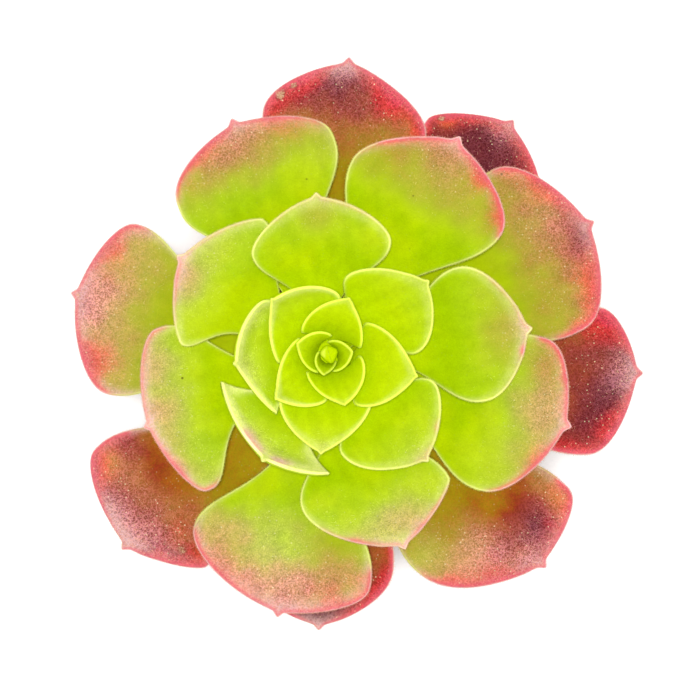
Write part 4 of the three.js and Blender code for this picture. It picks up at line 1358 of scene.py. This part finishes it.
    def cap_outline(self, angle: Array) -> Array:
        """Radius of the bud's cap at each angle.

        The outline is a polygon through the corners: on each side the radius is the cross product of the
        side's two corners over the cross product of the direction and the side. It is then drawn towards a
        circle and evened out over five neighbours.

        Args:
            angle: The angles, evenly spaced on a full turn.

        Returns:
            The radii.
        """
        turn, reach = np.radians([c[0] for c in self.corners]), np.array([c[1] for c in self.corners])
        corner = np.stack([reach * np.cos(turn), reach * np.sin(turn)], axis=1)
        after = np.roll(corner, -1, axis=0)
        side = after - corner
        cross = corner[:, 0] * after[:, 1] - corner[:, 1] * after[:, 0]
        facing = np.cos(angle)[:, None] * side[:, 1] - np.sin(angle)[:, None] * side[:, 0]
        outline = np.where(facing > 0.0, cross / np.maximum(facing, 1e-6), np.inf).min(axis=1)
        outline = (1.0 - self.roundness) * outline + self.roundness * outline.mean()
        return np.convolve(np.pad(outline, 2, mode="wrap"), np.full(5, 0.2), mode="valid")

    def bud_core(self, surface: Surface) -> None:
        """Adds the bud's core: a stalk that widens to a four-cornered cap, one flap folded over the other.

        The flap lifts the cap on one side of a line through its middle. The brim gets a painted highlight on
        its lit side, and the fold a pale edge: both are given a small distance from the margin, so that the
        skin draws them pale.

        Args:
            surface: The mesh being gathered.
        """
        rows, around = 34, 48
        steps = np.array(self.core)
        way = np.linspace(0.0, 1.0, rows)
        place = way * (len(steps) - 1)
        height = np.interp(place, np.arange(len(steps)), steps[:, 0])
        share = np.interp(place, np.arange(len(steps)), steps[:, 1])
        share = np.convolve(np.pad(share, 2, mode="edge"), np.full(5, 0.2), mode="valid")
        rings = turned(share, height, around)
        angle = circle(around)
        rings[..., :2] *= self.cap_outline(angle)[None, :, None]
        fold = math.radians(self.fold_turn)
        beyond = rings[..., 0] * math.cos(fold) + rings[..., 1] * math.sin(fold)
        capped = smooth((way - 0.55) / 0.2)[:, None]
        rings[..., 2] += self.fold_lift * smooth((beyond + 0.2) / 0.3) * capped
        rings[..., :2] += np.add(HEART, self.cap_shift)
        # Painted highlight: the brim is drawn palest on its lit side.
        lit = 0.5 + 0.5 * np.cos(angle - fold - self.lit_turn)[None, :]
        brim = (2.5 * np.abs(way - self.brim))[:, None] + 1.2 * (1.0 - lit)
        edge = np.where(capped > 0.0, np.minimum(brim, np.abs(beyond) + 0.25), 2.0)
        # lift raises the core's colour a little, as painted light.
        surface.add(*closed(rings), margin=np.append(edge, [2.0, 0.25]), upper=1.0, fresh=1.0, lift=1.1)

    def cushion(self, surface: Surface) -> None:
        """Adds the green growing point under the youngest leaves: a dome that falls with the radius squared.

        Args:
            surface: The mesh being gathered.
        """
        radius = np.array([5.0, 5.0, 4.2, 3.4, 2.6, 1.8, 1.0])
        height = self.cushion_top - self.cushion_fall * radius**2
        height[0] -= 1.0
        rings = turned(radius, height, 32) + np.array([*HEART, 0.0])
        ends = np.array([[*HEART, height[0]], [*HEART, self.cushion_top]])
        # lift raises the dome's colour as painted light against the shade in the hollow under the youngest
        # leaves.
        surface.add(*closed(rings, ends), margin=5.0, upper=1.0, fresh=1.0, lift=1.4)

    def build(self) -> None:
        """Builds the bud and every leaf, and reports each."""
        rng = np.random.default_rng(self.seed)
        materials = [LeafSkin().build(), MarginHair().build()]
        bud = Surface()
        self.bud_core(bud)
        self.cushion(bud)
        register(bud.to_object("bud", materials), "heart_bud")
        for number, leaf in enumerate(LEAVES, start=1):
            surface = Surface()
            face = self.blade(surface, leaf)
            self.hairs(surface, leaf, rng)
            self.down(surface, face, rng)
            node = f"leaf_{number:02d}"
            register(surface.to_object(f"{node}_blade", materials), node)


# Pot, soil and stem


@dataclass
class Pot:
    """Plain clay pot with a rim band and a drain hole."""

    height: float = 66.0
    rim_radius: float = 38.0
    rim_height: float = 15.0
    rim_ledge: float = 2.6
    top_radius: float = 34.2
    base_radius: float = 25.5
    wall: float = 3.4
    floor: float = 4.0
    drain_radius: float = 6.0
    rounding: float = 0.7
    curve_points: int = 4
    side_points: int = 10
    wobble: float = 0.0022
    around: int = 144

    def profile(self) -> Array:
        """The wall's closed section as radii and heights, from the drain hole out, up and back down."""
        ledge = self.height - self.rim_height
        rim, top = self.rim_radius, self.height
        return np.array([
            [self.drain_radius, 0.0], [self.base_radius - 1, 0.0], [self.base_radius, 1.0],
            [self.top_radius, ledge], [rim - 1.8, ledge + 0.4], [rim - 0.9, ledge + self.rim_ledge],
            [rim, top - 1.6], [rim - 0.6, top - 0.4], [rim - 1.6, top], [rim - self.wall - 0.6, top],
            [rim - self.wall - 1.4, top - 1], [self.top_radius - self.wall, ledge],
            [self.base_radius - self.wall + 1, self.floor + 2],
            [self.base_radius - self.wall - 1, self.floor], [self.drain_radius - 0.4, self.floor],
        ])

    def rounded(self, corners: Array) -> Array:
        """Rounds a closed section: each corner becomes a curve between points a short way along its sides.

        Args:
            corners: Corners of the section.

        Returns:
            The points of the rounded section, with extra ones on long sides.
        """
        ends = []
        for side in (np.roll(corners, 1, axis=0) - corners, np.roll(corners, -1, axis=0) - corners):
            length = np.linalg.norm(side, axis=1, keepdims=True)
            ends.append(corners + side / length * np.minimum(self.rounding, 0.4 * length))
        before, after = ends
        t = np.linspace(0.0, 1.0, self.curve_points)[None, :, None]
        curve = (1 - t) ** 2 * before[:, None] + 2 * t * (1 - t) * corners[:, None] + t**2 * after[:, None]
        t = np.linspace(0.0, 1.0, self.side_points)[1:-1][None, :, None]
        side = after[:, None] * (1 - t) + np.roll(before, -1, axis=0)[:, None] * t
        return np.concatenate([curve, side], axis=1).reshape(-1, 2)

    def build(self) -> None:
        """Turns the rounded section about the axis with a faint wobble from the maker's hand."""
        section = self.rounded(self.profile())
        rings = turned(section[:, 0], section[:, 1], self.around)
        waves = np.sin(2.0 * circle(self.around)[None, :] + 0.04 * section[:, 1:2])
        rings[..., :2] *= (1.0 - self.wobble * (1.0 + waves))[..., None]
        count = len(section)
        faces = ring_faces(count + 1, self.around) % (count * self.around)
        height = rings[..., 2].ravel()
        bloom = np.clip(1.0 - height / 26.0, 0.0, 1.0) + 0.6 * np.clip((height - 50.0) / 14.0, 0.0, 1.0)
        surface = Surface()
        surface.add(rings.reshape(-1, 3), [faces], bloom=bloom)
        register(surface.to_object("clay_pot", [Terracotta().build()]), "pot")


@dataclass
class Soil:
    """Potting mix in the pot, with grit lying on it.

    Attributes:
        wall: Radii and heights of its side, from the foot up.
        highest: Height that no grain passes.
        stem_place: Middle of the stem at the soil, which no grain comes near.
    """

    level: float = 58.5
    dome: float = 1.6
    edge: float = 31.3
    wall: tuple[tuple[float, float], ...] = ((20.4, 4.3), (23.2, 6.6), (30.4, 51.0), (31.3, 57.7))
    rings: int = 44
    around: int = 132
    stones: int = 620
    grain_sides: int = 6
    highest: float = 62.4
    stem_place: tuple[float, float] = (-3.9, -1.7)
    stem_clear: float = 6.6
    seed: int = 5

    def top(self, x: Array, y: Array) -> Array:
        """Height of the soil: a low dome with a slow wave and fine crumbs."""
        t = np.clip(np.hypot(x, y) / self.edge, 0.0, 1.0)
        slow = 0.5 * np.sin(0.31 * x + 1.1) * np.cos(0.27 * y - 0.4)
        crumbs = 0.28 * ripple(x, y, 3.1, 3.4) + 0.15 * ripple(x, y, 8.2, 1.3)
        return self.level + self.dome * (1.0 - t * t) + slow + crumbs * (1.0 - t**8)

    def build(self) -> None:
        """Builds the body from the foot up and over the top to the middle, then strews the grit."""
        radius = self.edge * np.linspace(1.0, 0.0, self.rings, endpoint=False)
        cover = turned(radius, np.zeros(self.rings), self.around)
        cover[..., 2] = self.top(cover[..., 0], cover[..., 1])
        wall = np.array(self.wall)
        surface = Surface()
        surface.add(*closed(np.concatenate([turned(wall[:, 0], wall[:, 1], self.around), cover])))
        self.strew(surface)
        register(surface.to_object("soil_bed", [PottingMix().build(), Grit().build()]), "soil")

    def strew(self, surface: Surface) -> None:
        """Adds the grit: each grain is a ball of four rings, its corners moved and squashed by seeded draws.

        Args:
            surface: The mesh being gathered.
        """
        rng = np.random.default_rng(self.seed)
        radius = (self.edge - 1.4) * np.sqrt(rng.uniform(0.0, 1.0, self.stones))
        angle = rng.uniform(0.0, math.tau, self.stones)
        x, y = radius * np.cos(angle), radius * np.sin(angle)
        keep = np.hypot(x - self.stem_place[0], y - self.stem_place[1]) > self.stem_clear
        x, y = x[keep], y[keep]
        count = len(x)
        size = rng.uniform(0.45, 1.35, count) * np.where(rng.uniform(0, 1, count) > 0.9, 1.5, 1.0)
        height = np.array([-0.9, -0.3, 0.35, 0.9])
        poles = np.array([[0.0, 0.0, -1.0], [0.0, 0.0, 1.0]])
        ball, faces = closed(turned(np.cos(height), np.sin(height), self.grain_sides), poles)
        corners = len(ball)
        shape = ball[None] * rng.uniform(0.8, 1.2, (count, corners, 1))
        shape = shape * (size[:, None] * rng.uniform(0.6, 1.0, (count, 3)))[:, None, :]
        turn = rng.uniform(0.0, math.tau, count)[:, None]
        px = shape[..., 0] * np.cos(turn) - shape[..., 1] * np.sin(turn) + x[:, None]
        py = shape[..., 0] * np.sin(turn) + shape[..., 1] * np.cos(turn) + y[:, None]
        pz = np.minimum(shape[..., 2] + self.top(x, y)[:, None] + 0.15 * size[:, None], self.highest)
        points = np.stack([px, py, pz], axis=-1).reshape(-1, 3)
        first = (corners * np.arange(count))[:, None, None]
        faces = [(block[None] + first).reshape(-1, block.shape[1]) for block in faces]
        tone = np.repeat(rng.uniform(0.0, 1.0, count) ** 1.2, corners)
        surface.add(points, faces, 1, tone=tone)


@dataclass
class Stem:
    """Short stem with old leaf scars, leaning from the pot's axis to the heart.

    Attributes:
        profile: Radii by height.
        first_scar: Order of the highest scar in the leaves' spiral.
        scar_below: Height under which scars are raised.
    """

    foot: tuple[float, float, float] = (-3.6, -1.6, 48.0)
    top: float = 102.1
    profile: tuple[tuple[float, float], ...] = (
        (48.0, 5.9), (70.0, 5.4), (85.0, 5.1), (97.6, 5.1), (99.4, 3.2), (100.5, 1.95), (101.6, 0.8),
        (102.1, 0.45),
    )
    scars: int = 13
    first_scar: int = 31
    scar_step: float = 1.75
    scar_top: float = 83.6
    scar_below: float = 86.0
    around: int = 72
    rings: int = 190

    def axis(self, z: Array) -> tuple[Array, Array]:
        """Middle of the stem at a height: from the foot to the heart, by the way up raised to 0.8."""
        t = np.clip((z - self.foot[2]) / (self.top - 4.0 - self.foot[2]), 0.0, 1.0) ** 0.8
        return self.foot[0] + (HEART[0] - self.foot[0]) * t, self.foot[1] + (HEART[1] - self.foot[1]) * t

    def scar(self, z: Array, angle: Array) -> Array:
        """Raised leaf scars: a bell at each place of the spiral, wider than it is high, with a small dent."""
        total = np.zeros(np.broadcast(z, angle).shape)
        for i in range(self.scars):
            azimuth = math.radians(FIRST_AZIMUTH + GOLDEN_ANGLE * (self.first_scar + i))
            turn = ((angle - azimuth + math.pi) % math.tau - math.pi) * self.profile[0][1] / 3.2
            drop = (z - (self.scar_top - self.scar_step * i)) / 1.5
            bell = np.exp(-(turn**2 + drop**2))
            total = total + bell - 0.45 * np.exp(-6.0 * (turn**2 + (drop + 0.15) ** 2))
        return total

    def build(self) -> None:
        """Sweeps the section up the leaning axis, with scars, furrows and a greener top, and dresses it."""
        z = np.linspace(self.foot[2], self.top, self.rings)[:, None]
        angle = circle(self.around)[None, :]
        scar = self.scar(z, angle) * (z < self.scar_below)
        fade = smooth((z - 60.0) / 3.0) * (1.0 - smooth((z - 90.0) / 6.0))
        furrow = 0.12 * ripple(4.5 * angle, z * 0.45, 2.2, 3.0) * fade
        heights, radii = zip(*self.profile)
        r = np.interp(z, heights, radii) + (0.4 * np.clip(scar, -0.6, 1.1) + furrow - 0.06) * fade
        cx, cy = self.axis(z)
        rings = np.stack([cx + r * np.cos(angle), cy + r * np.sin(angle), z + 0.0 * angle], axis=-1)
        young = np.append(np.broadcast_to(smooth((z - 74.0) / 16.0), scar.shape), [0.0, 1.0])
        surface = Surface()
        surface.add(*closed(rings), young=young, scar=np.append(scar * fade, [0.0, 0.0]))
        register(surface.to_object("stem_bark", [Bark().build()]), "stem")


# Studio


@dataclass
class Studio:
    """Pale floor, soft lights and the camera straight above. Places are in millimetres, as in the frame."""

    centre: tuple[float, float] = (-1.9, -0.88)
    camera_height: float = 700.0
    lens: float = 145.6
    film: float = 36.0
    floor_size: float = 3000.0
    world_strength: float = 0.4
    key_place: tuple[float, float, float] = (-12.0, 18.0, 1450.0)
    key_size: float = 160.0
    key_power: float = 22.0
    target_height: float = 90.0

    def floor(self) -> None:
        """A flat pale floor under the pot."""
        half = self.floor_size / 2.0
        corners = np.array([[-half, -half, 0.0], [half, -half, 0.0], [half, half, 0.0], [-half, half, 0.0]])
        surface = Surface()
        surface.add(corners, [np.array([[0, 1, 2, 3]])])
        surface.to_object("floor", [Backdrop().build()])

    def key_light(self) -> None:
        """Adds the square soft light, which looks at the rosette."""
        data = bpy.data.lights.new("key", "AREA")
        data.shape = "SQUARE"
        data.size = self.key_size * MM
        data.energy = self.key_power
        lamp = bpy.data.objects.new("key", data)
        x, y, z = (value * MM for value in self.key_place)
        lamp.location = (x, y, z)
        away = z - self.target_height * MM
        lamp.rotation_euler = (math.atan2(math.hypot(x, y), away), 0.0, math.atan2(y, x) + math.pi / 2.0)
        bpy.context.scene.collection.objects.link(lamp)

    def build(self) -> None:
        """Sets the world, the light, the floor and the camera."""
        scene = bpy.context.scene
        world = bpy.data.worlds.new("soft_room")
        world.use_nodes = True
        background = world.node_tree.nodes["Background"]
        background.inputs["Color"].default_value = (1.0, 1.0, 1.0, 1.0)
        background.inputs["Strength"].default_value = self.world_strength
        scene.world = world
        scene.view_settings.view_transform = "Standard"
        self.floor()
        self.key_light()
        data = bpy.data.cameras.new("camera")
        data.lens = self.lens
        data.sensor_width = self.film
        data.clip_start = 0.01
        data.clip_end = 20.0
        camera = bpy.data.objects.new("camera", data)
        camera.location = (self.centre[0] * MM, self.centre[1] * MM, self.camera_height * MM)
        scene.collection.objects.link(camera)
        scene.camera = camera


def register(piece: bpy.types.Object, node: str) -> None:
    """Ties a piece to the frame: it rides on the root and stands for a solid.

    Args:
        piece: The finished piece.
        node: The solid it stands for.
    """
    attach(piece, "root")
    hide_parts(node)
    LOG.info("%s stands for %s, %d faces", piece.name, node, len(piece.data.polygons))


def main() -> None:
    """Builds the studio and every piece in order."""
    logging.basicConfig(level=logging.INFO, format="%(message)s")
    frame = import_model()
    LOG.info("frame with %d nodes", len(frame["nodes"]))
    for assembly in (Studio(), Pot(), Soil(), Stem(), Rosette()):
        assembly.build()


if __name__ == "__main__":
    main()
